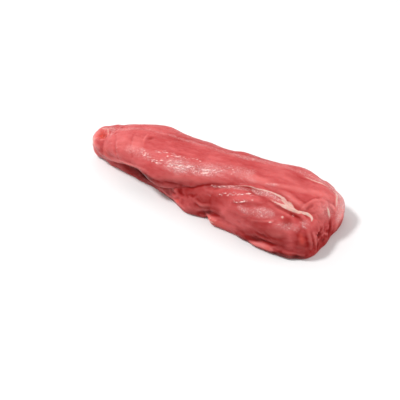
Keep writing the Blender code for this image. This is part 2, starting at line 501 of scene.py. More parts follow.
@dataclass(frozen=True)
class Flecks:
    """Painted glints: short streaks that lean along the muscle, each raised a little."""

    tissue: Tissue
    rows: tuple[tuple[float, ...], ...]
    height: float = 0.3
    lean: tuple[float, float, float] = (0.95, 0.27, 0.14)

    @classmethod
    def at(cls, tissue: Tissue, *rows: tuple[float, ...]) -> "Flecks":
        """Streaks at x, y and z with half length, half width and share of the tissue."""
        return cls(tissue, rows)

    @classmethod
    def strewn(
        cls, tissue: Tissue, count: int, spread: float, *waypoints: tuple[float, float, float]
    ) -> "Flecks":
        """Small streaks strewn along waypoints of x, y and z.

        Args:
            tissue: The mask that the streaks are painted into.
            count: How many streaks there are.
            spread: How far they stray from the way, in millimetres.
            waypoints: The places that they follow.

        Returns:
            The streaks, each of its own size and strength.
        """
        chance = random.Random(count)
        table = np.array(waypoints, float)
        rows = []
        for number in range(count):
            place = (number + chance.random()) / count * (len(table) - 1)
            x, y, z = (float(np.interp(place, range(len(table)), column)) for column in table.T)
            stray = [chance.uniform(-spread, spread) for _ in range(2)]
            limits = (FLECK_HALF_LENGTHS, FLECK_HALF_WIDTHS, FLECK_SHARES)
            sizes = [chance.uniform(*limit) for limit in limits]
            rows.append((x + stray[0], y + stray[1], z, *sizes))
        return cls(tissue, tuple(rows))

    def marks(self, form: MuscleForm, points: np.ndarray) -> tuple[np.ndarray, np.ndarray]:
        """What the streaks do to each point.

        Args:
            form: The muscle that carries the streaks.
            points: Points of its skin.

        Returns:
            The height that they add, in millimetres, and the share of their tissue.
        """
        cover = np.zeros(len(points))
        lean = np.array(self.lean)
        table = np.array(self.rows, float)
        for middle, (half_length, half_width, share) in zip(form.settled(table[:, :3]), table[:, 3:]):
            near = np.flatnonzero(np.all(np.abs(points - middle) < max(half_length, half_width), 1))
            offset = points[near] - middle
            along = offset @ lean
            across = np.linalg.norm(offset - along[:, None] * lean, axis=1)
            shape = bump(np.hypot(along / half_length, across / half_width))
            cover[near] = np.maximum(cover[near], share * shape)
        return self.height * cover, cover


Mark = Stroke | Spot | Flecks


def tail_marks() -> dict[str, Mark]:
    """The thin end: a red hollow with a pale rim, smooth bands, and the lip below them, with painted
    shade in the hollow and under the lip, painted glints, and painted light on the end that faces
    away from the lamps.

    Returns:
        Each mark by its name.
    """
    return {
        "tail_crease": Stroke.through(
            PALE_AND_LIT, (-96, -4, 33, 3, -0.2, 0), (-90, -10, 32, 3, -0.4, 0.1), (-85, -18, 29, 3, -0.7, 0.2),
            (-81, -22, 25, 3, -0.6, 0.2), (-79, -23, 18, 3, -0.2, 0)
        ),
        "tail_hollow": Spot(WARM, -115, -4, 26, 7.5, -3, 0.9),
        "hollow_end": Spot(WARM, -109, -7, 27, 6.5, -2.4, 0.9),
        "hollow_shade": Spot(DEEP_AND_SHADE, -112, -6, 27, 7, 0, 1),
        "hollow_folds": Wrinkles(None, -112, -5, 27, 9, 0.8, size=3.5),
        "hollow_bottom": Stroke.through(
            DEEP_AND_SHADE, (-115, -4, 25, 3.5, -0.6, 1.2), (-110, -6, 27, 4, -0.9, 1.5),
            (-105, -8, 28, 3.2, -0.4, 1.1)
        ),
        "rim": Stroke.through(
            PALE_AND_LIT, (-122, 3, 21, 3, 0.3, 0.5), (-122, -6, 21, 3.5, 0.6, 0.9),
            (-117, -12, 20, 3.5, 0.5, 0.9), (-109, -16, 20, 3.5, 0.3, 0.5)
        ),
        "beige_ring": Stroke.through(
            FAT, (-120, 3, 24, 2, 0.3, 0.3), (-116, 3, 27, 2.4, 0.5, 0.45),
            (-109, 1, 29, 2.6, 0.6, 0.45), (-104, -4, 29, 2.4, 0.5, 0.4), (-101, -9, 29, 2, 0.3, 0.2)
        ),
        "ring_film": Stroke.through(
            FILM_AND_SHEEN, (-116, 6, 26, 4, 0, 0.6), (-108, 5, 29, 5, 0, 0.8), (-101, 0, 30, 4, 0, 0.7),
            (-99, -8, 30, 3, 0, 0.4)
        ),
        "warm_flank": Spot(WARM, -99, -19, 20, 8, 0, 0.4),
        "pale_tail": Spot(PALE_AND_LIT, -115, -12, 20, 6, 0, 0.3),
        "glint_one": Spot(WET_AND_GLINT, -91, -16, 29, 1.8, 0.4, 1),
        "glint_two": Stroke.through(
            WET_AND_GLINT, (-84, -18, 31, 1.5, 0.3, 0.6), (-81, -20, 29, 1.5, 0.4, 0.9),
            (-80, -22, 24, 1.5, 0.3, 0.5)
        ),
        "second_band": Stroke.through(
            DEEP_AND_SHADE, (-73, -4, 37, 2.2, -0.2, 0.1), (-70, -11, 36, 2.2, -0.25, 0.1),
            (-66, -19, 34, 2.2, -0.35, 0.15), (-60, -25, 31, 2.2, -0.3, 0.1)
        ),
        "top_dimple": Spot(DEEP_AND_SHADE, -54, -4, 38, 5, -0.5, 0.5),
        "dimple_edge": Stroke.through(
            PALE_AND_LIT, (-60, 0, 37, 1.8, 0.2, 0.2), (-59, -6, 37, 1.8, 0.3, 0.5),
            (-56, -12, 37, 1.8, 0.2, 0.2)
        ),
        "pale_band": Spot(PALE_AND_LIT, -64, -14, 36, 13, 0.3, 0.6),
        "pale_upper_band": Spot(PALE_AND_LIT, -78, -14, 33, 11, 0.1, 0.45),
        "lip_edge": Stroke.through(
            PALE_AND_LIT, (-80, -23, 19, 1.8, 0.2, 0.3), (-70, -25, 21, 2, 0.5, 0.9),
            (-60, -28, 23, 2, 0.5, 0.8), (-49, -31, 26, 2, 0.3, 0.3), (-38, -34, 29, 1.8, 0.1, 0.1)
        ),
        # painted shade under the lip, in its pocket and on the wall below it
        "shade_under_lip": Stroke.through(
            DEEP_AND_SHADE, (-82, -21, 12, 5, 0, 0.2), (-74, -22, 13, 7.5, -0.4, 0.9),
            (-62, -25, 14, 9, -0.9, 1.3), (-47, -30, 15, 10, -0.9, 1.6), (-34, -34, 16, 8.5, -0.5, 1.2),
            (-24, -36, 18, 6, 0, 0.4), (-14, -35, 21, 5, 0, 0.1)
        ),
        "lip_pocket": Stroke.through(
            DEEP_AND_SHADE, (-62, -26, 17, 4, 0, 1), (-50, -30, 19, 5.5, 0, 1.7), (-41, -34, 22, 5, -0.4, 2),
            (-32, -37, 23, 4.5, -0.3, 1.6), (-21, -37, 22, 3.5, 0, 0.6)
        ),
        "shaded_wall": Stroke.through(
            DEEP_AND_SHADE, (-84, -16, 6, 5, 0, 0.2), (-76, -18, 7, 7, -0.4, 0.9), (-64, -21, 8, 8, -0.6, 1.3),
            (-50, -25, 8, 9, -0.6, 1.7), (-36, -29, 9, 7.5, -0.4, 0.95), (-22, -33, 11, 6, 0, 0.4)
        ),
        "tail_wall": Stroke.through(
            PALE_AND_LIT, (-106, -14, 12, 6, 0.6, 0.2), (-95, -17, 12, 7, 1.6, 0.3),
            (-86, -20, 14, 6, 1.6, 0.6), (-77, -23, 18, 4, 0.4, 0.5)
        ),
        "cream_tail_end": Spot(FAT, -120, -9, 19, 9, 0, 0.56),
        "red_flank": Spot(DEEP_AND_SHADE, -94, -19, 19, 7.5, 0, 0.4),
        # painted light and sheen on the tail's end, which faces away from the lamps
        "pale_tail_end": Spot(PALE_AND_LIT, -123, -4, 15, 17, 0, 1.8),
        "tail_end_film": Spot(FILM_AND_SHEEN, -124, -3, 16, 14, 0, 1),
        "dark_under_lip": Spot(DEEP_AND_SHADE, -54, -28, 13, 13, -1.6, 1.3),
        "folds_under_lip": Wrinkles(None, -54, -26, 10, 22, 0.7, size=6, along=2.2),
        "speckled_top": Stroke.through(
            FILM_AND_SHEEN, (-96, 3, 32, 3, 0, 0.5), (-88, 2, 34, 4, 0.1, 0.6), (-76, 6, 36, 3, 0, 0.5),
            (-62, 8, 37, 2.5, 0, 0.4), (-46, 8, 38, 2.5, 0, 0.3)
        ),
        "tail_dip": Spot(None, -112, 8, 28, 9, -1.5),
        "red_far_top": Stroke.through(
            DEEP_AND_SHADE, (-48, 3, 38, 5, 0, 0.15), (-34, 6, 38, 7, 0, 0.25), (-20, 7, 37, 5, 0, 0.15)
        ),
        "top_wrinkles": Wrinkles(None, -98, 3, 31, 16, 0.6, size=5),
    }


def crest_marks() -> dict[str, Mark]:
    """The wet crest that faces the viewer, with painted glints, sheen and light, and the furrow under it
    with painted shade on the wall below.

    Returns:
        Each mark by its name.
    """
    return {
        "beads": Stroke.through(
            WET_AND_GLINT, (-54, -18, 36, 2.5, 0, 0.7), (-47, -23, 35, 3, 0.1, 1), (-38, -26, 35, 3.5, 0.1, 1),
            (-28, -28, 35, 3.5, 0.1, 0.8)
        ),
        "wet_row": Stroke.through(
            WET_AND_GLINT, (-38, -17, 38, 3, 0, 0.7), (-26, -15, 38, 3.5, 0, 0.8), (-12, -16, 38, 3.5, 0, 0.8),
            (2, -13, 39, 3, 0, 0.5)
        ),
        "wet_middle": Stroke.through(
            WET_AND_GLINT, (-24, -24, 36, 5, 0, 0.6), (-10, -24, 36, 9, 0.1, 1), (4, -23, 37, 8, 0, 0.8),
            (16, -21, 37, 8, 0, 1), (30, -17, 38, 7, 0, 0.4)
        ),
        "middle_film": Spot(FILM_AND_SHEEN, -8, -25, 36, 10, 0.1, 1.6),
        "far_middle_swell": Spot(None, 0, 14, 34, 26, 1.2),
        "far_middle_dip": Spot(None, 53, 12, 34, 26, -1.5),
        # painted sheen along the far edge
        "far_middle_film": Stroke.through(
            FILM_AND_SHEEN, (-42, 9, 38, 2.5, 0, 0.4), (-14, 7, 38, 3, 0.1, 0.5), (20, 5, 40, 3.5, 0.1, 0.4),
            (44, 6, 40, 4, 0.1, 0.9), (58, 8, 39, 4, 0.1, 0.5), (70, 8, 39, 3, 0, 0.4),
            (90, 7, 37, 3, 0, 0.4)
        ),
        # painted glints on the wet crest
        "crest_flecks": Flecks.at(
            PAINTED_GLINT, (-51, -21, 35, 1.6, 1.3, 0.8), (-47, -23, 35, 2.4, 1.6, 1.2),
            (-35, -28, 35, 1.8, 1.2, 0.9), (-30, -28, 35, 2, 1.4, 1.1), (-35, -17, 38, 2.2, 1.2, 1),
            (-16, -16, 38, 4, 1.1, 0.8), (-8, -24, 36, 4, 1.6, 1.1), (17, -20, 37, 6, 1.3, 1),
            (17, -23, 36, 6, 1.4, 1.2), (34, -11, 39, 1.6, 1.2, 0.7)
        ),
        "near_flecks": Flecks.strewn(
            PAINTED_GLINT, 17, 1.8, (-52, -20, 36), (-40, -25, 36), (-26, -27, 36), (-8, -28, 35)
        ),
        "middle_flecks": Flecks.strewn(PAINTED_GLINT, 30, 3.4, (-27, -22, 37), (-8, -24, 36), (8, -22, 37)),
        "upper_flecks": Flecks.strewn(PAINTED_GLINT, 13, 1.4, (-40, -17, 38), (-16, -16, 38), (6, -13, 39)),
        "right_flecks": Flecks.strewn(PAINTED_GLINT, 14, 2.6, (12, -21, 37), (26, -18, 38), (42, -13, 38)),
        "small_patch": Spot(WET_AND_GLINT, 34, -12, 39, 4, 0.1, 0.7),
        "upper_streak": Stroke.through(
            FILM_AND_SHEEN, (46, -13, 38, 2, 0.1, 0.3), (56, -15, 37, 2.5, 0.1, 0.5), (62, -16, 37, 2, 0, 0.2)
        ),
        "main_furrow": Stroke.through(
            DEEP_AND_SHADE, (-28, -35, 14, 6, 1.2, 0.1), (-16, -33, 17, 7, 2, 0.1), (-4, -31, 18, 6.5, 1.6, 0.2),
            (14, -29, 24, 6.5, 0.8, 0.3), (28, -27, 27, 5.5, -0.6, 0.3), (40, -25, 30, 4.5, -0.4, 0.1),
            (56, -23, 32, 4, -0.4, 0), (76, -27, 33, 4, -0.4, 0), (98, -34, 33, 4, -0.6, 0.1),
            (116, -34, 28, 3.5, -0.4, 0)
        ),
        "under_crest": Stroke.through(
            DEEP_AND_SHADE, (-24, -37, 24, 2.2, -0.1, 0.3), (-12, -35, 23, 2.2, -0.2, 0.4),
            (2, -32, 22, 2.2, -0.2, 0.5), (16, -29, 25, 2.2, -0.2, 0.5), (28, -26, 28, 2, -0.1, 0.3)
        ),
        "front_wall": Stroke.through(
            DEEP_AND_SHADE, (-18, -33, 12, 7, 0, 0.2), (-6, -35, 14, 10, 0, 0.25), (8, -37, 18, 13, 0, 0.6),
            (22, -38, 20, 14, 0, 0.9), (34, -37, 24, 12, 0, 0.8), (46, -37, 27, 8, 0, 0.5)
        ),
        # painted light on the crest's lower flank
        "crest_shoulder": Stroke.through(
            PALE_AND_LIT, (-24, -36, 30, 5, 0.1, 0), (-11, -33, 30, 6.5, 0.5, 0.4), (3, -30, 31, 6.5, 0.5, 0.4),
            (16, -27, 32, 6, 0.5, 0.3), (32, -24, 33, 4, 0.1, 0.1)
        ),
        # painted sheen along the crest
        "crest_haze": Stroke.through(
            FILM_AND_SHEEN, (-68, -20, 34, 6, 0, 0.6), (-54, -21, 35, 7, 0, 0.5), (-38, -24, 36, 6, 0, 0.2),
            (-25, -24, 36, 7, 0, 0.3), (-12, -24, 36, 10, 0, 1.5), (4, -22, 37, 9, 0, 0.7),
            (19, -19, 38, 10, 0, 1), (34, -13, 38, 8, 0, 0.45), (54, -10, 39, 7, 0, 0.6)
        ),
        "pale_crest": Spot(PALE_AND_LIT, -13, -24, 36, 13, 0, 0.3),
        "crest_light": Stroke.through(
            PALE_AND_LIT, (38, -15, 38, 5, 0, 0.2), (52, -14, 38, 6, 0, 0.6), (66, -14, 38, 6, 0, 0.7),
            (80, -14, 38, 4, 0, 0.3)
        ),
        "shaded_edge": Spot(DEEP_AND_SHADE, -21, -33, 7, 6.5, 0, 0.9),
        "dark_spot": Spot(DEEP_AND_SHADE, -4, -31, 14, 4.5, -0.9, 1),
        "dark_fold": Stroke.through(
            DEEP_AND_SHADE, (6, -34, 16, 2.5, -0.3, 0.5), (11, -36, 18, 2.5, -0.6, 0.9),
            (16, -35, 20, 2, -0.2, 0.3)
        ),
        "wall_hollow": Spot(DEEP_AND_SHADE, 2, -39, 14, 12, -2, 0.3),
        "wall_ridge": Stroke.through(
            PALE_AND_LIT, (13, -39, 17, 2.5, 0.3, 0.1), (22, -41, 16, 2.5, 0.7, 0.3),
            (30, -40, 18, 2.5, 0.3, 0.1)
        ),
        "wall_folds": Wrinkles(None, -6, -34, 12, 18, 0.6, size=6, along=1.3),
        "outer_rim": Stroke.through(
            PALE_AND_LIT, (-32, -28, 6, 2, 0.3, 0.3), (-18, -33, 5, 2.5, 0.5, 0.6), (-7, -37, 6, 2.5, 0.5, 0.5),
            (2, -40, 5, 2.5, 0.3, 0.3)
        ),
        "rim_hollow": Spot(DEEP_AND_SHADE, -15, -35, 2, 8, -1, 0.9),
        "warm_rim": Spot(WARM, -6, -37, 7, 3.5, 0.3, 0.8),
    }


def far_marks() -> dict[str, Mark]:
    """The side that faces away: a long seam with a thread of fat, films and small folds, with painted
    shade in the seams and painted glints.

    Returns:
        Each mark by its name.
    """
    return {
        "long_seam": Stroke.through(
            DEEP_AND_SHADE, (-96, 17, 20, 3.5, -0.4, 0.2), (-72, 25, 15, 5, -1.3, 0.6),
            (-46, 27, 19, 4.5, -1, 0.4), (-16, 26, 14, 5.5, -1.7, 0.7), (14, 22, 18, 4.5, -1, 0.5),
            (40, 21, 15, 5, -1.5, 0.6), (68, 22, 21, 5, -1.4, 0.5), (98, 21, 25, 3.5, -0.6, 0.3)
        ),
        "low_seam": Stroke.through(
            DEEP_AND_SHADE, (-44, 27, 7, 3.5, -0.3, 0.3), (-8, 26, 8, 4.5, -1.2, 0.6),
            (34, 23, 7, 4.5, -1.3, 0.6), (72, 24, 10, 3.5, -0.4, 0.3)
        ),
        "seam_thread": Stroke.through(
            FAT, (12, 22, 20, 0.9, 0.1, 0.3), (26, 22, 17, 1.2, 0.3, 0.7), (44, 22, 17, 1.3, 0.4, 0.9),
            (60, 22, 21, 1.6, 0.4, 0.9), (80, 23, 24, 1.2, 0.3, 0.7), (100, 21, 26, 0.9, 0.1, 0.2)
        ),
        "seam_sheet": Spot(FAT, 64, 22, 23, 4.5, 0.1, 0.7),
        "back_swell": Spot(None, -62, 26, 22, 24, 1.6),
        "back_dip": Spot(None, 16, 24, 24, 26, -1.6),
        "back_end_swell": Spot(None, 84, 24, 14, 24, 1.4),
        "seam_film": Stroke.through(
            FILM_AND_SHEEN, (-70, 22, 26, 5, 0, 0.3), (-48, 23, 27, 8, 0.1, 0.8), (-26, 22, 28, 8, 0.1, 0.8),
            (-2, 19, 30, 6, 0, 0.3), (22, 17, 31, 6, 0, 0.4), (48, 19, 29, 8, 0.1, 0.8),
            (80, 21, 29, 6, 0, 0.4)
        ),
        "seam_wet": Stroke.through(
            WET_AND_GLINT, (-58, 22, 28, 4, 0, 0.7), (-30, 22, 29, 5, 0.1, 1), (2, 18, 31, 4, 0, 0.8),
            (30, 18, 31, 3, 0, 0.5)
        ),
        "pale_back": Stroke.through(
            PALE_AND_LIT, (-86, 20, 12, 7, 0.2, 0.6), (-58, 27, 11, 7, 0.3, 0.6), (-24, 27, 24, 5, 0.3, 0.5)
        ),
        "pale_back_end": Stroke.through(
            PALE_AND_LIT, (60, 23, 12, 8, 0.3, 0.6), (88, 23, 13, 9, 0.3, 0.7), (112, 18, 13, 8, 0.2, 0.6)
        ),
        # painted glints on the far side
        "back_flecks": Flecks.at(
            PAINTED_GLINT, (-52, 23, 27, 3, 1.2, 0.9), (-46, 24, 26, 2, 1.2, 0.8),
            (-39, 23, 28, 3.4, 1.1, 1.1), (-31, 23, 28, 2.4, 1.3, 0.9), (-24, 21, 30, 2.8, 1.1, 1),
            (-15, 21, 30, 3.2, 1, 0.8), (-4, 19, 31, 2.2, 1.2, 0.8), (6, 18, 31, 3, 1.1, 0.9),
            (40, 17, 31, 2.4, 1.2, 0.8), (48, 18, 30, 3, 1.1, 0.9), (55, 18, 30, 2, 1.2, 0.7)
        ),
        "back_folds": Wrinkles(None, 106, 20, 16, 20, 0.9, size=6, along=1.4),
        "middle_back_folds": Wrinkles(None, -4, 26, 11, 24, 0.6, size=7, along=2),
        "tail_back_folds": Wrinkles(None, -100, 14, 16, 18, 0.7, size=5, along=1.3),
        "under_film": Stroke.through(
            FILM_AND_SHEEN, (-84, 0, 0, 9, 0, 0.7), (-30, -4, 0, 13, 0, 1), (40, -8, 0, 15, 0, 1),
            (96, -16, 0, 12, 0, 0.7)
        ),
        "under_thread": Stroke.through(
            FAT, (-20, 6, 0, 1.2, 0, 0.4), (24, 2, 0, 1.8, 0, 1), (70, -4, 0, 1.4, 0, 0.6)
        ),
    }


def strip_marks() -> dict[str, Mark]:
    """The strip of fat: a thread, a web, a cream sheet and the cord that it ends in, with painted shade
    below it.

    Returns:
        Each mark by its name.
    """
    return {
        "fat_bed": Stroke.through(
            None, (46, -22, 32, 2.5, 0.3, 0), (66, -21, 35, 3.5, 1.2, 0), (80, -26, 35, 6, 2, 0),
            (91, -29, 34, 7, 2.4, 0), (101, -32, 32, 4, 2.4, 0), (111, -31, 30, 3, 2, 0),
            (119, -33, 28, 3, 0.4, 0)
        ),
        "upper_branch": Stroke.through(
            FAT, (24, -26, 27, 0.8, 0.1, 0.1), (35, -25, 29, 0.8, 0.2, 0.2),
            (46, -23, 31, 0.8, 0.2, 0.45), (58, -21, 34, 0.9, 0.3, 0.6), (68, -22, 35, 1, 0.3, 0.7),
            (79, -22, 36, 1.2, 0.3, 0.8), (88, -23, 36, 1.4, 0.4, 0.9), (95, -25, 35, 1.8, 0.4, 1.1),
            (101, -29, 33, 2, 0.4, 1.4), (107, -31, 31, 2, 0.3, 1.4)
        ),
        "lower_branch": Stroke.through(
            FAT, (76, -27, 33, 1, 0.2, 0.1), (82, -29, 34, 0.9, 0.3, 0.3), (88, -31, 34, 1.1, 0.3, 0.6),
            (94, -32, 34, 1.3, 0.4, 0.9), (101, -32.5, 33, 1.8, 0.4, 1.4), (108, -31, 32, 1.6, 0.4, 1.4)
        ),
        "cream_sheet": Stroke.through(
            FAT, (90, -25, 36, 2.4, 0, 0.2), (95, -26.5, 35, 4, 0, 0.9),
            (99, -27.5, 34.5, 5.2, 0.1, 1.6), (104, -30, 33, 4.2, 0.2, 1.7),
            (110, -30, 31.5, 2.6, 0.3, 1.7)
        ),
        "cord": Stroke.through(
            FAT, (106, -30, 32, 2.4, 0.1, 1.5), (111, -28.5, 31, 2, 0.4, 1.5),
            (116, -27, 30, 1.8, 0.5, 1.4), (120, -28, 28.5, 1.6, 0.4, 1.1),
            (121, -31, 27, 1.2, 0.2, 0.5)
        ),
        "web": Stroke.through(
            FILM_AND_SHEEN, (63, -23, 34, 2.5, 0.1, 1), (70, -24, 34.5, 4, 0.2, 1.5),
            (78, -24.5, 35.5, 4.5, 0.1, 1.5), (86, -26, 36, 5, 0, 1.4), (93, -27.5, 35, 5, 0, 1.2)
        ),
        "shade_below": Stroke.through(
            DEEP_AND_SHADE, (84, -31, 34, 1.6, -0.1, 0.3), (93, -34, 33, 2.2, 0, 0.6),
            (103, -35, 32, 2, -0.2, 0.7), (112, -33, 30, 1.6, -0.2, 0.5)
        ),
        "flesh_beside": Stroke.through(
            PALE_AND_LIT, (86, -18, 37, 3, 0.3, 0.2), (94, -20, 36, 4.5, 1.2, 0.4), (102, -23, 35, 5, 2.2, 0.4),
            (111, -25, 33, 4.5, 1.8, 0.3)
        ),
        "flesh_below": Stroke.through(
            PALE_AND_LIT, (84, -33, 33, 2.5, 0, 0.2), (93, -36, 32, 3, 0.2, 0.3), (103, -36, 31, 3.5, 0.6, 0.3)
        ),
    }


def front_marks() -> dict[str, Mark]:
    """The front lobe: wet dashes, film, the notch with its flap, and the lip at the foot, with painted
    glints, and painted shade in the notch, the groove and at the foot.

    Returns:
        Each mark by its name.
    """
    return {
        "upper_dashes": Stroke.through(
            WET_AND_GLINT, (25, -27, 27, 1.8, 0.1, 1), (33, -26, 28, 1.8, 0.1, 1), (43, -26, 30, 1.8, 0.1, 0.8)
        ),
        "line_haze": Stroke.through(
            FILM_AND_SHEEN, (27, -27, 28, 2, 0, 0.1), (36, -26, 29, 2.5, 0, 0.8), (48, -25, 31, 3, 0, 1),
            (60, -24, 33, 2.5, 0, 0.6)
        ),
        "middle_dashes": Stroke.through(
            WET_AND_GLINT, (36, -35, 28, 2.2, 0.1, 0.8), (46, -32, 31, 2.5, 0.1, 1), (57, -31, 32, 2.8, 0.1, 1),
            (68, -28, 34, 2.5, 0.1, 0.9)
        ),
        "lower_dashes": Stroke.through(
            WET_AND_GLINT, (52, -38, 29, 2.2, 0.1, 0.9), (60, -38, 31, 2.5, 0.1, 1), (70, -34, 33, 2.2, 0.1, 0.8)
        ),
        # painted glints on the front lobe
        "front_flecks": Flecks.at(
            PAINTED_GLINT, (50, -24, 31, 2.6, 0.8, 0.6), (62, -38, 31, 2.4, 1.1, 1.2),
            (63, -28, 33.5, 2.8, 1.5, 1.9), (70, -25, 35, 1.8, 0.9, 1), (33, -44, 8, 1.7, 1, 1.1),
            (38, -45, 8, 2.4, 0.9, 0.8)
        ),
        "line_flecks": Flecks.strewn(PAINTED_GLINT, 7, 0.5, (25, -27, 27), (46, -24, 31)),
        "dash_flecks": Flecks.strewn(PAINTED_GLINT, 16, 1.3, (37, -34, 28), (54, -32, 32), (68, -29, 34)),
        "low_flecks": Flecks.strewn(PAINTED_GLINT, 6, 0.8, (52, -39, 29), (62, -38, 31), (72, -35, 33)),
        "end_flecks": Flecks.strewn(PAINTED_GLINT, 5, 0.9, (90, -47, 28), (112, -45, 28)),
        "winding_film": Stroke.through(
            FILM_AND_SHEEN, (62, -41, 28, 3, 0, 0.7), (68, -43, 28, 4, 0.1, 1.1), (75, -43, 29, 5, 0.1, 0.7),
            (83, -42, 31, 6.5, 0.1, 1.2), (91, -42, 32, 5, 0.1, 0.9)
        ),
        "edge_of_winding_film": Stroke.through(
            PALE_AND_LIT, (76, -48, 25, 1.4, 0.1, 0.2), (86, -47, 27, 1.5, 0.15, 0.3),
            (95, -46, 30, 1.6, 0.2, 0.5)
        ),
        "red_middle": Stroke.through(
            DEEP_AND_SHADE, (52, -43, 22, 5, 0, 0.3), (62, -45, 23, 7, 0, 0.35), (76, -47, 23, 5, 0, 0.3)
        ),
        "red_between": Stroke.through(
            DEEP_AND_SHADE, (54, -40, 29, 4, 0, 0.4), (66, -39, 32, 4.5, 0, 0.7), (80, -37, 34, 4, 0, 0.6)
        ),
        "red_below_strip": Stroke.through(
            DEEP_AND_SHADE, (78, -34, 34, 4, 0, 0.4), (88, -38, 33, 5, 0, 0.4), (100, -39, 31, 5.5, 0, 0.15),
            (112, -37, 29, 4, 0, 0.2)
        ),
        "pale_spot": Spot(FAT, 101, -41, 32, 1.9, 0.3, 0.75),
        "small_pale_spot": Spot(FILM_AND_SHEEN, 107, -35, 31, 1.6, 0.2, 0.9),
        "red_patch": Spot(DEEP_AND_SHADE, 106, -42, 29, 7, -0.2, 0.9),
        "film_near_end": Stroke.through(
            FILM_AND_SHEEN, (97, -48, 27, 3, 0.1, 0.2), (104, -46, 28, 4.5, 0.2, 0.6),
            (114, -43, 28, 4.5, 0.1, 0.7)
        ),
        "ring_haze": Spot(FILM_AND_SHEEN, 118, -36, 28, 5.5, 0, 1),
        "bead_ring": Stroke.through(
            WET_AND_GLINT, (116, -34, 28, 1.6, 0.3, 1), (118, -38, 27, 1.6, 0.4, 1.2), (120, -39, 26, 1.5, 0.3, 1)
        ),
        "pink_bulge": Stroke.through(
            PALE_AND_LIT, (94, -51, 21, 5, 0.3, 0.2), (102, -50, 22, 5.5, 0.4, 0.4),
            (109, -48, 23, 4.5, 0.2, 0.1)
        ),
        "notch": Stroke.through(
            DEEP_AND_SHADE, (17, -39, 5, 3.6, -0.3, 0.9), (24, -40, 8, 4.6, -0.8, 1.1),
            (32, -41, 11, 4.2, -1.2, 1), (39, -43, 13, 3.4, -0.6, 0.7), (46, -43, 14, 3.4, -0.1, 0.5)
        ),
        "shaded_corner": Stroke.through(
            DEEP_AND_SHADE, (4, -39, 8, 6, 0, 0.3), (13, -41, 5, 6.5, 0.4, 0.6), (20, -42, 3, 4, 0.3, 0.4)
        ),
        "red_wall_foot": Stroke.through(
            DEEP_AND_SHADE, (10, -38, 11, 5, 0, 0.6), (23, -40, 15, 6.5, 0, 0.95), (40, -42, 17, 6, 0, 0.9)
        ),
        "flap_flesh": Stroke.through(
            WARM, (26, -42, 4, 3, 0.2, 0.4), (30, -43, 5, 5, 0.4, 0.7), (36, -45, 6, 5, 0.4, 0.6),
            (46, -46, 5, 4, 0.1, 0.4)
        ),
        "flap_edge": Stroke.through(
            PALE_AND_LIT, (26, -42, 5, 3, 0.3, 1.3), (31, -44, 7, 3.4, 0.4, 1.4), (38, -45, 8, 2.4, 0.2, 0.8)
        ),
        "flap_rim": Stroke.through(
            FAT, (27, -42, 4, 1.4, 0.1, 0.4), (32, -44, 5, 2, 0.1, 0.6), (39, -45, 6, 1.2, 0, 0.3)
        ),
        "flap_glint": Spot(WET_AND_GLINT, 33, -44, 8, 1.8, 0.3, 1.2),
        "groove_over_lip": Stroke.through(
            DEEP_AND_SHADE, (60, -48, 4, 3.5, 0.2, 0.9), (70, -50, 5, 4.5, -0.4, 1.1),
            (80, -51, 8, 4.5, -1.3, 1.2), (92, -52, 11, 4.5, -1, 1), (106, -52, 12, 4.5, -0.3, 0.8)
        ),
        "dark_above_groove": Stroke.through(
            DEEP_AND_SHADE, (62, -49, 9, 5, 0, 0.5), (72, -51, 11, 7, 0, 0.8), (82, -52, 14, 8, 0, 1),
            (95, -53, 17, 8.5, 0, 1.1), (106, -52, 15, 8.5, 0, 0.9)
        ),
        "lip_flesh": Stroke.through(
            PALE_AND_LIT, (74, -51, 3, 2.2, 0.3, 0.8), (80, -52, 4, 3, 0.7, 1.4), (88, -53, 6, 3.6, 0.3, 1.3),
            (96, -54, 6, 2.8, 0.4, 0.7)
        ),
        "warm_lip": Spot(WARM, 93, -54, 5, 4.5, 0, 0.6),
        "shaded_front": Stroke.through(
            DEEP_AND_SHADE, (74, -49, 22, 6, 0, 0.3), (84, -51, 20, 9, 0, 0.8), (94, -52, 20, 9, 0, 0.9),
            (104, -51, 20, 9, 0, 1)
        ),
        "red_below_film": Stroke.through(
            DEEP_AND_SHADE, (68, -47, 21, 5, 0, 0.1), (80, -49, 23, 6, 0, 0.6), (90, -50, 25, 5, 0, 0.6)
        ),
        # painted shade at the foot, where the meat meets the floor
        "dark_foot": Stroke.through(
            DEEP_AND_SHADE, (62, -49, 3, 5, 0, 1), (74, -51, 3, 5.5, 0, 1.1), (84, -52, 0, 4, -0.3, 0.8),
            (95, -54, 0, 5, -0.6, 1.3), (104, -54, 3, 6, -0.4, 2.2), (114, -52, 2, 6.5, -0.3, 2.2),
            (124, -46, 4, 7, 0, 1.1)
        ),
        "lip_folds": Wrinkles(None, 90, -51, 7, 16, 0.8, size=4.4, along=1.5),
        "red_front": Stroke.through(
            DEEP_AND_SHADE, (118, -46, 23, 9, 0, 0.8), (124, -41, 20, 8, 0, 0.9), (120, -48, 17, 9, 0, 1),
            (126, -41, 14, 9, 0, 1.4), (124, -44, 9, 11, 0, 1.1)
        ),
        "upright_ridge": Stroke.through(
            PALE_AND_LIT, (122, -39, 25, 2.6, 0.4, 0.1), (125, -42, 19, 3, 0.9, 0.1),
            (126, -43, 12, 2.8, 0.5, 0)
        ),
        "warm_front": Stroke.through(
            WARM, (119, -46, 24, 3, 0, 0.3), (121, -47, 19, 3.5, 0, 0.5), (121, -48, 15, 3, 0, 0)
        ),
        "foot_line": Stroke.through(
            PALE_AND_LIT, (106, -53, 7, 1.5, 0.2, 0.1), (115, -51, 7, 1.6, 0.3, 0.3),
            (122, -47, 6, 1.5, 0.2, 0.2)
        ),
    }


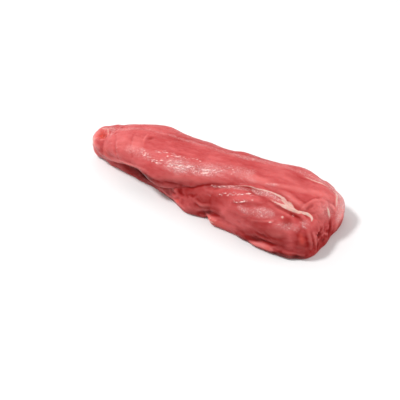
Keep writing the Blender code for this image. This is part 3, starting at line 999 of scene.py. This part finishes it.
def end_marks() -> dict[str, Mark]:
    """The thick end: bands that wrap over it, creases, and the puckered hole, with painted shade in the
    creases, the hole and at the foot, and painted light and sheen on the wrap.

    Returns:
        Each mark by its name.
    """
    return {
        "head_crease": Stroke.through(
            DEEP_AND_SHADE, (118, -8, 33, 4.5, 0.4, 0), (124, -11, 28, 4.5, 0.6, 0), (127, -14, 20, 3, 0, 0.2),
            (129, -15, 16, 2.2, -0.6, 0.8), (130, -16, 11, 2.4, -0.8, 1), (129, -19, 6, 2.4, -0.6, 0.9)
        ),
        "pale_end": Spot(PALE_AND_LIT, 121, -19, 27, 15, 0, 0.5),
        "end_film": Spot(FILM_AND_SHEEN, 124, -12, 26, 12, 0, 0.6),
        "hole": Spot(DEEP_AND_SHADE, 127, -31, 15, 4.2, -3, 1.7),
        "second_hollow": Spot(DEEP_AND_SHADE, 129, -27, 16, 4, -0.8, 1.3),
        "hole_surround": Spot(DEEP_AND_SHADE, 128, -30, 13, 14, -0.6, 1.1),
        "hole_folds": Pucker(None, 127, -31, 15, 9, 0.35, folds=6),
        "end_foot_shade": Stroke.through(
            DEEP_AND_SHADE, (126, -38, 8, 9, 0, 1.2), (130, -28, 8, 9, 0, 1.2), (132, -14, 6, 8, 0, 0.9),
            (133, -2, 5, 7, 0, 0.8)
        ),
        "fold_below_hole": Stroke.through(
            DEEP_AND_SHADE, (128, -33, 11, 1.8, -0.8, 0.8), (129, -35, 8, 1.8, -0.9, 0.9),
            (128, -37, 4, 1.8, -0.4, 0.6)
        ),
        "ridge_left_of_hole": Stroke.through(
            PALE_AND_LIT, (125, -37, 21, 2, 0.3, 0.3), (127, -38, 15, 2.6, 0.5, 0.2), (128, -37, 8, 2.4, 0.3, 0)
        ),
        "ridge_right_of_hole": Stroke.through(
            PALE_AND_LIT, (129, -24, 12, 1.8, 0.2, 0.1), (129, -21, 9, 2.2, 0.6, 0.2),
            (129, -18, 6, 1.8, 0.3, 0)
        ),
        "end_wrinkles": Wrinkles(None, 120, -20, 28, 14, 0.6, size=3.4),
        "lower_end_wrinkles": Wrinkles(None, 128, -24, 12, 14, 0.6, size=4.5),
        "arc_fold": Stroke.through(
            PALE_AND_LIT, (112, -20, 33, 1.8, 0.2, 0.1), (116, -15, 34, 2, 0.25, 0.4),
            (120, -11, 33, 2, 0.3, 0.5), (124, -10, 29, 2, 0.3, 0.4)
        ),
        "arc_shade": Stroke.through(
            DEEP_AND_SHADE, (113, -16, 35, 1.8, -0.1, 0.1), (119, -8, 34, 1.8, -0.15, 0.15),
            (124, -7, 30, 1.8, -0.2, 0.2)
        ),
        "end_streak": Stroke.through(
            FAT, (123, -12, 28, 1.3, 0.3, 0.4), (125, -13, 24, 1.7, 0.5, 0.9),
            (127, -14, 20, 1.2, 0.3, 0.5)
        ),
        "side_lump": Stroke.through(
            PALE_AND_LIT, (126, -8, 28, 2.2, 0.5, 0.7), (128, -7, 25, 2.6, 0.8, 0.9),
            (130, -6, 21, 2.2, 0.4, 0.5)
        ),
        "knuckle_side": Stroke.through(
            None, (111, -25, 31, 2.4, 0.5, 0), (113, -20, 33, 2.6, 0.9, 0), (116, -14, 34, 2.4, 0.4, 0)
        ),
        "red_bumps": Wrinkles(DEEP_AND_SHADE, 111, -23, 33, 6, 0.3, 0.3, size=3),
        "pale_arc": Stroke.through(
            PALE_AND_LIT, (80, -15, 38, 3, 0, 0.4), (93, -12, 38, 5, 0.1, 0.6), (106, -9, 36, 5, 0.1, 0.6),
            (118, -6, 34, 5, 0.1, 0.6), (125, -2, 30, 4, 0, 0.5)
        ),
        "arc_streak": Stroke.through(
            FILM_AND_SHEEN, (72, -16, 38, 1.5, 0.2, 0.5), (78, -15, 38, 1.8, 0.3, 0.9),
            (83, -14, 38, 1.5, 0.2, 0.4)
        ),
        "wrap_line": Stroke.through(
            FAT, (120, 9, 31, 1.5, 0.3, 0.3), (124, 7, 28, 1.8, 0.4, 0.75),
            (127, 0, 27, 1.8, 0.4, 0.75), (129, -5, 23, 1.6, 0.3, 0.4)
        ),
        # painted light and sheen on the wrap
        "wrap_flesh": Stroke.through(
            PALE_AND_LIT, (124, 14, 26, 6, 0, 0.5), (129, 6, 22, 9, 0, 1.4), (131, -2, 15, 9, 0, 1.3),
            (131, -8, 9, 6, 0, 0.4)
        ),
        "pale_wrap_edge": Stroke.through(
            PALE_AND_LIT, (126, 4, 27, 3, 0, 0.4), (128, -1, 25, 4, 0, 0.9), (130, -5, 20, 3, 0, 0.5)
        ),
        "wrap_film": Stroke.through(
            FILM_AND_SHEEN, (118, 14, 30, 8, 0, 0.8), (124, 13, 27, 9, 0, 1.1), (129, 6, 22, 11, 0, 1.7),
            (132, -4, 16, 9, 0, 1.1)
        ),
        "far_line": Stroke.through(
            FAT, (92, 4, 37, 1.4, 0.2, 0.2), (102, 5, 36, 1.6, 0.4, 0.5), (112, 6, 35, 1.8, 0.4, 0.6),
            (119, 8, 32, 1.6, 0.2, 0.3)
        ),
        "pale_top": Stroke.through(
            PALE_AND_LIT, (80, -3, 38, 7, 0, 0.2), (90, -4, 38, 8, 0, 0.35), (101, -6, 37, 7, 0, 0.2)
        ),
        "red_top": Stroke.through(
            DEEP_AND_SHADE, (60, -1, 39, 6, 0, 0.2), (84, 1, 38, 7, 0, 0.1), (102, 1, 37, 6, 0, 0.1)
        ),
        "far_swell": Spot(None, 92, 14, 33, 24, 2),
        "far_dip": Spot(None, 120, 10, 31, 12, -1.8),
        "wrap_swell": Spot(None, 130, 4, 20, 12, 1),
        "far_film": Stroke.through(
            FILM_AND_SHEEN, (88, 8, 37, 4, 0, 0.5), (104, 9, 35, 5, 0.1, 0.8), (118, 10, 32, 5, 0, 0.7)
        ),
    }


@dataclass(frozen=True)
class Lumps:
    """Soft unevenness of the flesh, as layers of noise stretched along the muscle."""

    stretch: float = 1.9
    sizes: tuple[float, ...] = (20.0, 9.0, 4.5, 2.4)
    heights: tuple[float, ...] = (0.8, 0.60, 0.34, 0.14)

    def height(self, points: np.ndarray) -> np.ndarray:
        """How far the lumps raise each point, in millimetres.

        Args:
            points: Points of the skin.

        Returns:
            One height for each point, about as often below zero as above.
        """
        total = np.zeros(len(points))
        for size, tall in zip(self.sizes, self.heights):
            scaled = points / np.array([size * self.stretch, size, size])
            total += tall * noise_at(scaled)
        return total


class NodeBench:
    """Builds a material's nodes, each with its values and links."""

    def __init__(self, name: str) -> None:
        """Starts an empty material with a Principled surface.

        Args:
            name: The material's name.
        """
        self.material = bpy.data.materials.new(name)
        self.material.use_nodes = True
        self.tree = self.material.node_tree
        self.surface = self.tree.nodes["Principled BSDF"].inputs

    def put(self, socket: Socket, value: Value) -> None:
        """Links an output to a socket, or sets the socket's value.

        Args:
            socket: The input that is filled.
            value: An output, a number or a colour.
        """
        if isinstance(value, Socket):
            self.tree.links.new(value, socket)
        else:
            socket.default_value = value

    def node(self, kind: str, inputs: dict[object, Value], **settings: object) -> bpy.types.Node:
        """Adds one node.

        Args:
            kind: Its type, without the ShaderNode in front.
            inputs: Values or outputs by the input's name or number.
            settings: The node's own properties.

        Returns:
            The node.
        """
        made = self.tree.nodes.new("ShaderNode" + kind)
        for name, value in settings.items():
            setattr(made, name, value)
        for key, value in inputs.items():
            self.put(made.inputs[key], value)
        return made

    def mask(self, name: str) -> Socket:
        """One of the mesh's masks, as a number."""
        return self.node("Attribute", {}, attribute_type="GEOMETRY", attribute_name=name).outputs["Fac"]

    def maths(self, operation: str, *values: Value) -> Socket:
        """A calculation with one, two or three values."""
        return self.node("Math", dict(enumerate(values)), operation=operation).outputs[0]

    def scaled(self, vector: Socket, scale: tuple[float, ...]) -> Socket:
        """A vector multiplied by a scale along each axis."""
        return self.node("VectorMath", {0: vector, 1: scale}, operation="MULTIPLY").outputs[0]

    def noise(self, vector: Socket, scale: float, detail: float, twist: float = 0.0) -> Socket:
        """Noise from about 0 to 1.

        Args:
            vector: Where it is read.
            scale: Waves to each unit of the vector.
            detail: Layers of finer noise.
            twist: How much the noise bends its own pattern.

        Returns:
            The noise's output.
        """
        inputs = {"Vector": vector, "Scale": scale, "Detail": detail, "Distortion": twist}
        return self.node("TexNoise", inputs).outputs["Fac"]

    def ranged(
        self, value: Value, low: float, high: float, to_low: float = 0, to_high: float = 1
    ) -> Socket:
        """The value taken smoothly from one range to another, and kept within it.

        Args:
            value: What is read.
            low: The value that becomes to_low.
            high: The value that becomes to_high.
            to_low: The lower end of the new range.
            to_high: The upper end of the new range.

        Returns:
            The new value.
        """
        inputs = {0: value, 1: low, 2: high, 3: to_low, 4: to_high}
        return self.node("MapRange", inputs, interpolation_type="SMOOTHSTEP").outputs[0]

    def blended(self, share: Value, first: Value, second: Value) -> Socket:
        """A colour between two others, the first at share 0 and the second at share 1."""
        inputs = {0: share, MIX_FIRST: first, MIX_SECOND: second}
        return self.node("Mix", inputs, data_type="RGBA", clamp_factor=True).outputs[MIX_RESULT]


@dataclass(frozen=True)
class Grain:
    """A noise that runs with the fibres, in waves to the centimetre along each axis."""

    waves: tuple[float, float, float]
    detail: float
    twist: float


class Pattern(Enum):
    """The patterns that break the tissues up, each with its grain."""

    FIBRE = Grain((0.45, 3.0, 3.0), 3.0, 0.3)
    HAIR = Grain((0.9, 9.0, 9.0), 2.0, 0.2)
    DASHES = Grain((1.9, 7.0, 7.0), 1.0, 0.4)
    RIPPLE = Grain((3.6, 6.5, 6.5), 2.0, 0.8)
    NET = Grain((2.2, 3.0, 3.0), 2.0, 1.2)
    MOTTLE = Grain((5.0, 6.0, 6.0), 3.0, 0.6)


@dataclass(frozen=True)
class SkinLayers:
    """What the meat's finish is mixed from: the tissues' masks, the patterns and the blotches."""

    bench: NodeBench
    masks: dict[Tissue, Socket]
    patterns: dict[Pattern, Socket]
    blotch: Socket

    def share(self, tissue: Tissue, factor: Value) -> Socket:
        """A tissue's mask multiplied by a factor."""
        return self.bench.maths("MULTIPLY", self.masks[tissue], factor)

    def added(self, layer: Tissue | Pattern, factor: Value, base: Value) -> Socket:
        """A mask or pattern multiplied by a factor and added to a base."""
        source = self.masks[layer] if isinstance(layer, Tissue) else self.patterns[layer]
        return self.bench.maths("MULTIPLY_ADD", source, factor, base)

    def pattern(self, pattern: Pattern, low: float, high: float, *ends: float) -> Socket:
        """A pattern's values from low to high, taken to 0 and 1 or to the ends given."""
        return self.bench.ranged(self.patterns[pattern], low, high, *ends)


@dataclass(frozen=True)
class MeatFinish:
    """Wet raw flesh with its tissues and painted light: colours are linear, and a range is a pair of low
    and high.
    """

    flesh_light: Colour = (0.55, 0.098, 0.098, 1.0)
    flesh_dark: Colour = (0.44, 0.053, 0.054, 1.0)
    # deep red, also the colour of painted shade
    deep_and_shade: Colour = (0.25, 0.0072, 0.0066, 1.0)
    # painted shadow, where the deep mask goes past the start of its range
    painted_shadow: Colour = (0.10, 0.006, 0.006, 1.0)
    # pale flesh, also the colour of painted light
    pale_and_lit: Colour = (0.71, 0.185, 0.175, 1.0)
    warm: Colour = (0.72, 0.092, 0.068, 1.0)
    # film, also the colour of painted sheen and, in wet dashes, of painted glints
    film_and_sheen: Colour = (0.74, 0.36, 0.35, 1.0)
    fat: Colour = (0.65, 0.42, 0.355, 1.0)
    # painted glints
    painted_glint: Colour = (0.86, 0.56, 0.52, 1.0)
    fat_shade: Colour = (0.66, 0.34, 0.31, 1.0)
    fibre_in_tone: float = 0.3
    blotch_in_tone: float = 0.7
    tone_range: Range = (0.40, 0.60)
    deep_share: float = 0.88
    painted_shadow_range: Range = (1.2, 2.2)
    pale_share: float = 0.8
    warm_share: float = 0.8
    film_shares: Range = (0.25, 0.85)
    # share of painted glints in the wet dashes
    glint_paint_share: float = 0.5
    fat_mottle_range: Range = (0.35, 0.6)
    fat_raggedness: float = 0.35
    fat_edge: Range = (0.38, 0.85)
    fleck_raggedness: float = 0.8
    fleck_edge: Range = (0.55, 1.55)
    fleck_share: float = 0.9
    roughness: float = 0.34
    roughness_swing: float = 0.08
    ripple_range: Range = (0.3, 0.7)
    roughness_changes: tuple[tuple[Tissue, float], ...] = (
        (WET_AND_GLINT, -0.20),
        (PAINTED_GLINT, -0.15),
        (FILM_AND_SHEEN, -0.08),
        (FAT, 0.08),
    )
    least_roughness: float = 0.12
    drop_coats: Range = (0.03, 0.18)
    film_coat: float = 0.12
    glint_coat: float = 0.20
    coat_roughness: float = 0.26
    hair_relief: float = 0.10
    ripple_relief: float = 0.30
    tissue_reliefs: tuple[tuple[Tissue, Pattern, float], ...] = (
        (WET_AND_GLINT, Pattern.DASHES, 0.45),
        (WET_AND_GLINT, Pattern.RIPPLE, 0.35),
        (FILM_AND_SHEEN, Pattern.NET, 0.22),
        (FILM_AND_SHEEN, Pattern.RIPPLE, 0.20),
        (FAT, Pattern.MOTTLE, 0.15),
    )
    bump_distance: float = 0.001
    subsurface: float = 0.2
    subsurface_radius: tuple[float, float, float] = (1.0, 0.30, 0.22)
    subsurface_scale: float = 0.002
    ior: float = 1.38
    specular: float = 0.12
    sway_waves: float = 22.0
    sway_reach: tuple[float, float, float] = (1.1, 0.8, 0.8)
    blotch_waves: float = 30.0
    blotch_detail: float = 3.0
    dash_range: Range = (0.50, 0.66)
    net_middle: float = 0.5
    thread_width: float = 0.06

    def build(self) -> bpy.types.Material:
        """The material.

        Returns:
            A material that reads the skin's masks and grain.
        """
        bench = NodeBench("raw_meat_skin")
        layers = self.layers(bench)
        surface = bench.surface
        bench.put(surface["Base Color"], self.colour(layers))
        bench.put(surface["Roughness"], self.gloss(layers))
        bench.put(surface["Normal"], self.relief(layers))
        bench.put(surface["Coat Weight"], self.water(layers))
        surface["Coat Roughness"].default_value = self.coat_roughness
        surface["Metallic"].default_value = 0.0
        surface["IOR"].default_value = self.ior
        surface["Specular IOR Level"].default_value = self.specular
        surface["Subsurface Weight"].default_value = self.subsurface
        surface["Subsurface Radius"].default_value = self.subsurface_radius
        surface["Subsurface Scale"].default_value = self.subsurface_scale
        return bench.material

    def layers(self, bench: NodeBench) -> SkinLayers:
        """The masks and patterns of the skin, in centimetres that sway a little with the flesh.

        Args:
            bench: Where the nodes are made.

        Returns:
            What the other methods mix.
        """
        place = bench.node("TexCoord", {}).outputs["Object"]
        sway_inputs = {"Vector": place, "Scale": self.sway_waves, "Detail": 1.0}
        sway = bench.node("TexNoise", sway_inputs).outputs["Color"]
        grain_inputs = {0: sway, 1: self.sway_reach, 2: bench.scaled(place, (CM, CM, CM))}
        grain = bench.node("VectorMath", grain_inputs, operation="MULTIPLY_ADD").outputs[0]
        patterns = {
            pattern: bench.noise(
                bench.scaled(grain, pattern.value.waves), 1.0, pattern.value.detail, pattern.value.twist
            )
            for pattern in Pattern
        }
        patterns[Pattern.DASHES] = bench.ranged(patterns[Pattern.DASHES], *self.dash_range)
        off_middle = bench.maths("SUBTRACT", patterns[Pattern.NET], self.net_middle)
        away = bench.maths("ABSOLUTE", off_middle)
        patterns[Pattern.NET] = bench.ranged(away, 0, self.thread_width, 1, 0)
        masks = {tissue: bench.mask(tissue.value) for tissue in Tissue}
        blotch = bench.noise(place, self.blotch_waves, self.blotch_detail)
        return SkinLayers(bench, masks, patterns, blotch)

    def colour(self, layers: SkinLayers) -> Socket:
        """The flesh's colour with each tissue, and the painted shade, light, sheen and glints, laid over
        it in turn.

        Args:
            layers: The masks and patterns.

        Returns:
            The colour.
        """
        bench = layers.bench
        blotches = bench.maths("MULTIPLY", layers.blotch, self.blotch_in_tone)
        tone = layers.added(Pattern.FIBRE, self.fibre_in_tone, blotches)
        colour = bench.blended(bench.ranged(tone, *self.tone_range), self.flesh_dark, self.flesh_light)
        # deep red flesh and painted shade
        colour = bench.blended(layers.share(DEEP_AND_SHADE, self.deep_share), colour, self.deep_and_shade)
        # painted shadow where the deep mask is highest
        colour = bench.blended(bench.ranged(layers.masks[DEEP_AND_SHADE], *self.painted_shadow_range), colour, self.painted_shadow)
        # pale flesh and painted light
        colour = bench.blended(layers.share(PALE_AND_LIT, self.pale_share), colour, self.pale_and_lit)
        colour = bench.blended(layers.share(WARM, self.warm_share), colour, self.warm)
        # film and painted sheen, along the net's threads
        threads = layers.pattern(Pattern.NET, 0, 1, *self.film_shares)
        colour = bench.blended(layers.share(FILM_AND_SHEEN, threads), colour, self.film_and_sheen)
        # painted glints: film colour in dashes on wet flesh
        wet_glints = bench.maths("MULTIPLY", layers.patterns[Pattern.DASHES], self.glint_paint_share)
        colour = bench.blended(layers.share(WET_AND_GLINT, wet_glints), colour, self.film_and_sheen)
        mottle = layers.pattern(Pattern.MOTTLE, *self.fat_mottle_range)
        fat_colour = bench.blended(mottle, self.fat_shade, self.fat)
        fat = layers.added(Pattern.MOTTLE, self.fat_raggedness, layers.masks[FAT])
        colour = bench.blended(bench.ranged(fat, *self.fat_edge), colour, fat_colour)
        # painted glints, laid over all the rest
        fleck = layers.added(Pattern.MOTTLE, self.fleck_raggedness, layers.masks[PAINTED_GLINT])
        glint_cover = bench.ranged(fleck, *self.fleck_edge, 0, self.fleck_share)
        return bench.blended(glint_cover, colour, self.painted_glint)

    def gloss(self, layers: SkinLayers) -> Socket:
        """The roughness: lower where the flesh is wet, higher on fat.

        Args:
            layers: The masks and patterns.

        Returns:
            The roughness.
        """
        ends = (self.roughness - self.roughness_swing, self.roughness + self.roughness_swing)
        rough = layers.pattern(Pattern.RIPPLE, *self.ripple_range, *ends)
        for tissue, change in self.roughness_changes:
            rough = layers.added(tissue, change, rough)
        return layers.bench.maths("MAXIMUM", rough, self.least_roughness)

    def water(self, layers: SkinLayers) -> Socket:
        """The weight of the clear coat of juice, in dashes where the flesh is wet.

        Args:
            layers: The masks and patterns.

        Returns:
            The weight, thin on the films and fuller on the painted glints.
        """
        wet_glints = layers.share(WET_AND_GLINT, layers.pattern(Pattern.DASHES, 0, 1, *self.drop_coats))
        thin = layers.added(FILM_AND_SHEEN, self.film_coat, wet_glints)
        return layers.added(PAINTED_GLINT, self.glint_coat, thin)

    def relief(self, layers: SkinLayers) -> Socket:
        """The fine relief: ripples along the fibres, stronger where the flesh glitters.

        Args:
            layers: The masks and patterns.

        Returns:
            The bent normal.
        """
        bench = layers.bench
        height = bench.maths("MULTIPLY", layers.patterns[Pattern.HAIR], self.hair_relief)
        height = layers.added(Pattern.RIPPLE, self.ripple_relief, height)
        for tissue, pattern, strength in self.tissue_reliefs:
            height = layers.added(pattern, layers.share(tissue, strength), height)
        inputs = {"Strength": 1.0, "Distance": self.bump_distance, "Height": height}
        return bench.node("Bump", inputs).outputs[0]


@dataclass(frozen=True)
class FloorFinish:
    """A matt, nearly white floor."""

    colour: Colour = (0.76, 0.76, 0.76, 1.0)
    roughness: float = 0.9
    specular: float = 0.1

    def build(self) -> bpy.types.Material:
        """The material.

        Returns:
            A plain material without a pattern.
        """
        bench = NodeBench("pale_floor")
        bench.surface["Base Color"].default_value = self.colour
        bench.surface["Roughness"].default_value = self.roughness
        bench.surface["Specular IOR Level"].default_value = self.specular
        return bench.material


@dataclass
class Tenderloin:
    """The meat: its skin, the masks of its tissues and of its painted light and shade, and its finish."""

    form: MuscleForm = field(default_factory=MuscleForm)
    lumps: Lumps = field(default_factory=Lumps)
    finish: MeatFinish = field(default_factory=MeatFinish)
    skin_edge: float = 0.8
    full_relief_height: float = 1.0
    # painted shade where the flesh is closed in, in creases and at the foot, and painted light on ridges
    shade_distance: float = 7.0
    smoothing_rounds: int = 10
    foot_height: float = 5.0
    hollow_depth: float = 0.30
    ridge_height: float = 0.45
    open_sky: float = 1.1
    shade_share: float = 0.5
    hollow_share: float = 0.5
    foot_share: float = 1.2
    ridge_share: float = 0.4
    # the deep mask goes up to here, past 1 into the painted shadow
    deepest_shade: float = 2.25
    palest: float = 1.25

    def even_mesh(self) -> bpy.types.Mesh:
        """The plain skin as even quads.

        Returns:
            The mesh, in millimetres, on the muscle's field.
        """
        carrier = bpy.data.objects.new("carrier", self.form.grid_mesh())
        bpy.context.scene.collection.objects.link(carrier)
        remesh = carrier.modifiers.new("even_skin", "REMESH")
        remesh.mode = "VOXEL"
        remesh.voxel_size = self.skin_edge
        graph = bpy.context.evaluated_depsgraph_get()
        mesh = bpy.data.meshes.new_from_object(carrier.evaluated_get(graph))
        bpy.data.objects.remove(carrier)
        return mesh

    def build(self) -> bpy.types.Object:
        """The finished piece, riding where the solid does.

        Returns:
            The piece.
        """
        mesh = self.even_mesh()
        self.dress(mesh, self.shape(mesh))
        piece = bpy.data.objects.new("tenderloin_skin", mesh)
        bpy.context.scene.collection.objects.link(piece)
        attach(piece, "root")
        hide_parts("tenderloin")
        LOG.info("%s: %d points", piece.name, len(mesh.vertices))
        return piece

    def shape(self, mesh: bpy.types.Mesh) -> dict[Tissue, np.ndarray]:
        """Lays the relief on the plain skin, and centres it over the frame's origin in metres.

        Args:
            mesh: The plain skin, in millimetres.

        Returns:
            Each tissue's share at each point.
        """
        points = np.empty(len(mesh.vertices) * 3)
        mesh.vertices.foreach_get("co", points)
        points = self.form.settled(points.reshape(-1, 3))
        normals = self.placed(mesh, points)
        height, masks = self.marks(points)
        off_floor = np.clip(points[:, 2] / self.full_relief_height, 0, 1)
        height = (height + self.lumps.height(points)) * off_floor
        skin = points + normals * height[:, None]
        skin = self.shade(mesh, points, normals, skin, masks)
        middle = (skin.min(0) + skin.max(0)) / 2
        middle[2] = 0.0
        skin = skin - middle
        skin[:, 2] = np.maximum(skin[:, 2], 0.0)
        self.placed(mesh, skin * MM)
        return masks

    def dress(self, mesh: bpy.types.Mesh, masks: dict[Tissue, np.ndarray]) -> None:
        """Gives the skin its masks of tissue and painted light, and its finish.

        Args:
            mesh: The shaped skin.
            masks: Each tissue's share at each point.
        """
        for tissue, share in masks.items():
            layer = mesh.attributes.new(tissue.value, "FLOAT", "POINT")
            layer.data.foreach_set("value", share)
        mesh.shade_smooth()
        mesh.materials.append(self.finish.build())

    def placed(self, mesh: bpy.types.Mesh, points: np.ndarray) -> np.ndarray:
        """Moves the mesh's points and reads its normals.

        Args:
            mesh: The skin.
            points: Where its points go.

        Returns:
            The new normals.
        """
        mesh.vertices.foreach_set("co", points.ravel())
        mesh.update()
        return np.array([normal.vector for normal in mesh.vertex_normals])

    def marks(self, points: np.ndarray) -> tuple[np.ndarray, dict[Tissue, np.ndarray]]:
        """All the strokes and spots together.

        Args:
            points: Points of the plain skin.

        Returns:
            The height at each point, in millimetres, and each tissue's share there.
        """
        height = np.zeros(len(points))
        masks = {tissue: np.zeros(len(points)) for tissue in Tissue}
        for group in (tail_marks, crest_marks, strip_marks, front_marks, end_marks, far_marks):
            for mark in group().values():
                rise, share = mark.marks(self.form, points)
                height += rise
                if mark.tissue is not None:
                    masks[mark.tissue] = np.maximum(masks[mark.tissue], share)
            LOG.info("%s laid on the skin", group.__name__)
        return height, masks

    def shade(
        self,
        mesh: bpy.types.Mesh,
        points: np.ndarray,
        normals: np.ndarray,
        skin: np.ndarray,
        masks: dict[Tissue, np.ndarray],
    ) -> np.ndarray:
        """Paints shade into closed-in places, creases and the foot, paints light onto ridges, and rounds
        the foot.

        Args:
            mesh: The skin, for its edges.
            points: Points of the plain skin.
            normals: Its normals.
            skin: The points with their relief.
            masks: Each tissue's share, changed in place.

        Returns:
            The points, with the edge that lies on the floor rounded.
        """
        # painted shade where little open sky lies above the flesh
        openness = self.form.field(points + normals * self.shade_distance) / self.shade_distance
        shade = np.clip(self.open_sky - openness, 0, 1)
        ends = np.empty(len(mesh.edges) * 2, dtype=np.int32)
        mesh.edges.foreach_get("vertices", ends)
        first, second = ends.reshape(-1, 2).T
        count = np.bincount(ends, minlength=len(points))
        smooth = skin
        for _ in range(self.smoothing_rounds):
            columns = [
                np.bincount(first, smooth[second, axis], len(points))
                + np.bincount(second, smooth[first, axis], len(points))
                for axis in range(3)
            ]
            smooth = np.stack(columns, 1) / count[:, None]
        hollow = np.sum((smooth - skin) * normals, 1)
        foot = np.clip(1 - points[:, 2] / self.foot_height, 0, 1) * np.clip(1 + normals[:, 2], 0, 1)
        # painted shade in creases and at the foot, painted light on ridges
        creased = np.clip(hollow / self.hollow_depth, 0, 1)
        raised = np.clip(-hollow / self.ridge_height, 0, 1)
        darker = self.shade_share * shade + self.hollow_share * creased + self.foot_share * foot
        # laid into the deep mask as painted shade and into the pale mask as painted light
        masks[DEEP_AND_SHADE] = np.clip(masks[DEEP_AND_SHADE] + darker, 0, self.deepest_shade)
        masks[PALE_AND_LIT] = np.clip(masks[PALE_AND_LIT] + self.ridge_share * raised, 0, self.palest) * (1 - foot)
        masks[WARM] = masks[WARM] * (1 - foot)
        return skin + (smooth - skin) * foot[:, None]


@dataclass(frozen=True)
class SoftLight:
    """A square light that faces the meat, placed by its direction and distance."""

    name: str
    direction: tuple[float, float, float]
    distance: float
    side: float
    watts: float

    def build(self, aim: Vector) -> bpy.types.Object:
        """The light, facing the aim.

        Args:
            aim: Where it points.

        Returns:
            The lamp.
        """
        data = bpy.data.lights.new(self.name, "AREA")
        data.shape = "SQUARE"
        data.size = self.side
        data.energy = self.watts
        lamp = bpy.data.objects.new(self.name, data)
        towards = Vector(self.direction).normalized()
        lamp.location = aim + towards * self.distance
        lamp.rotation_euler = towards.to_track_quat("Z", "Y").to_euler()
        bpy.context.scene.collection.objects.link(lamp)
        return lamp


@dataclass
class Studio:
    """The floor, the lights, the surroundings and the camera."""

    aim: tuple[float, float, float] = (0.01655, -0.02481, 0.018)
    azimuth_deg: float = 39.34
    elevation_deg: float = 39.3
    roll_deg: float = -9.3
    camera_distance: float = 0.7294
    lens_mm: float = 77.94
    sensor_mm: float = 36.0
    floor_side: float = 8.0
    sky: Colour = (1.0, 1.0, 1.0, 1.0)
    sky_strength: float = 0.52
    floor_finish: FloorFinish = field(default_factory=FloorFinish)
    lights: tuple[SoftLight, ...] = (
        SoftLight("key_light", (-0.36, -0.20, 0.91), 1.1, 0.20, 9.0),
        SoftLight("back_light", (-0.49, 0.60, 0.63), 1.3, 0.9, 2.0),
        SoftLight("end_light", (0.88, 0.25, 0.40), 1.3, 0.9, 9.0),
        SoftLight("tail_light", (-0.95, 0.10, 0.30), 1.3, 0.9, 4.0),
    )

    def build(self) -> None:
        """Makes everything that isn't part of the meat."""
        self.build_floor()
        self.build_camera()
        self.build_room()
        for light in self.lights:
            light.build(Vector())
        bpy.context.scene.view_settings.view_transform = "Standard"
        LOG.info("studio: floor, camera, room and %d lights", len(self.lights))

    def build_room(self) -> None:
        """The even light that comes from all around."""
        world = bpy.data.worlds.new("pale_room")
        world.use_nodes = True
        background = world.node_tree.nodes["Background"]
        background.inputs["Color"].default_value = self.sky
        background.inputs["Strength"].default_value = self.sky_strength
        bpy.context.scene.world = world

    def build_floor(self) -> None:
        """The floor, which isn't part of the object."""
        sheet = bmesh.new()
        bmesh.ops.create_grid(sheet, x_segments=1, y_segments=1, size=self.floor_side / 2)
        mesh = bpy.data.meshes.new("floor")
        sheet.to_mesh(mesh)
        sheet.free()
        mesh.materials.append(self.floor_finish.build())
        floor = bpy.data.objects.new("floor", mesh)
        bpy.context.scene.collection.objects.link(floor)

    def build_camera(self) -> None:
        """The camera, at the photograph's viewing angle."""
        azimuth = math.radians(self.azimuth_deg)
        elevation = math.radians(self.elevation_deg)
        level = math.cos(elevation)
        towards = Vector((math.sin(azimuth) * level, -math.cos(azimuth) * level, math.sin(elevation)))
        data = bpy.data.cameras.new("camera")
        data.lens = self.lens_mm
        data.sensor_width = self.sensor_mm
        camera = bpy.data.objects.new("camera", data)
        camera.location = Vector(self.aim) + towards * self.camera_distance
        upright = towards.to_track_quat("Z", "Y")
        rolled = upright @ Quaternion((0.0, 0.0, 1.0), math.radians(self.roll_deg))
        camera.rotation_euler = rolled.to_euler()
        bpy.context.scene.collection.objects.link(camera)
        bpy.context.scene.camera = camera


def main() -> None:
    """Builds the meat and the studio."""
    logging.basicConfig(level=logging.INFO, format="%(name)s: %(message)s")
    Tenderloin().build()
    Studio().build()


if __name__ == "__main__":
    main()
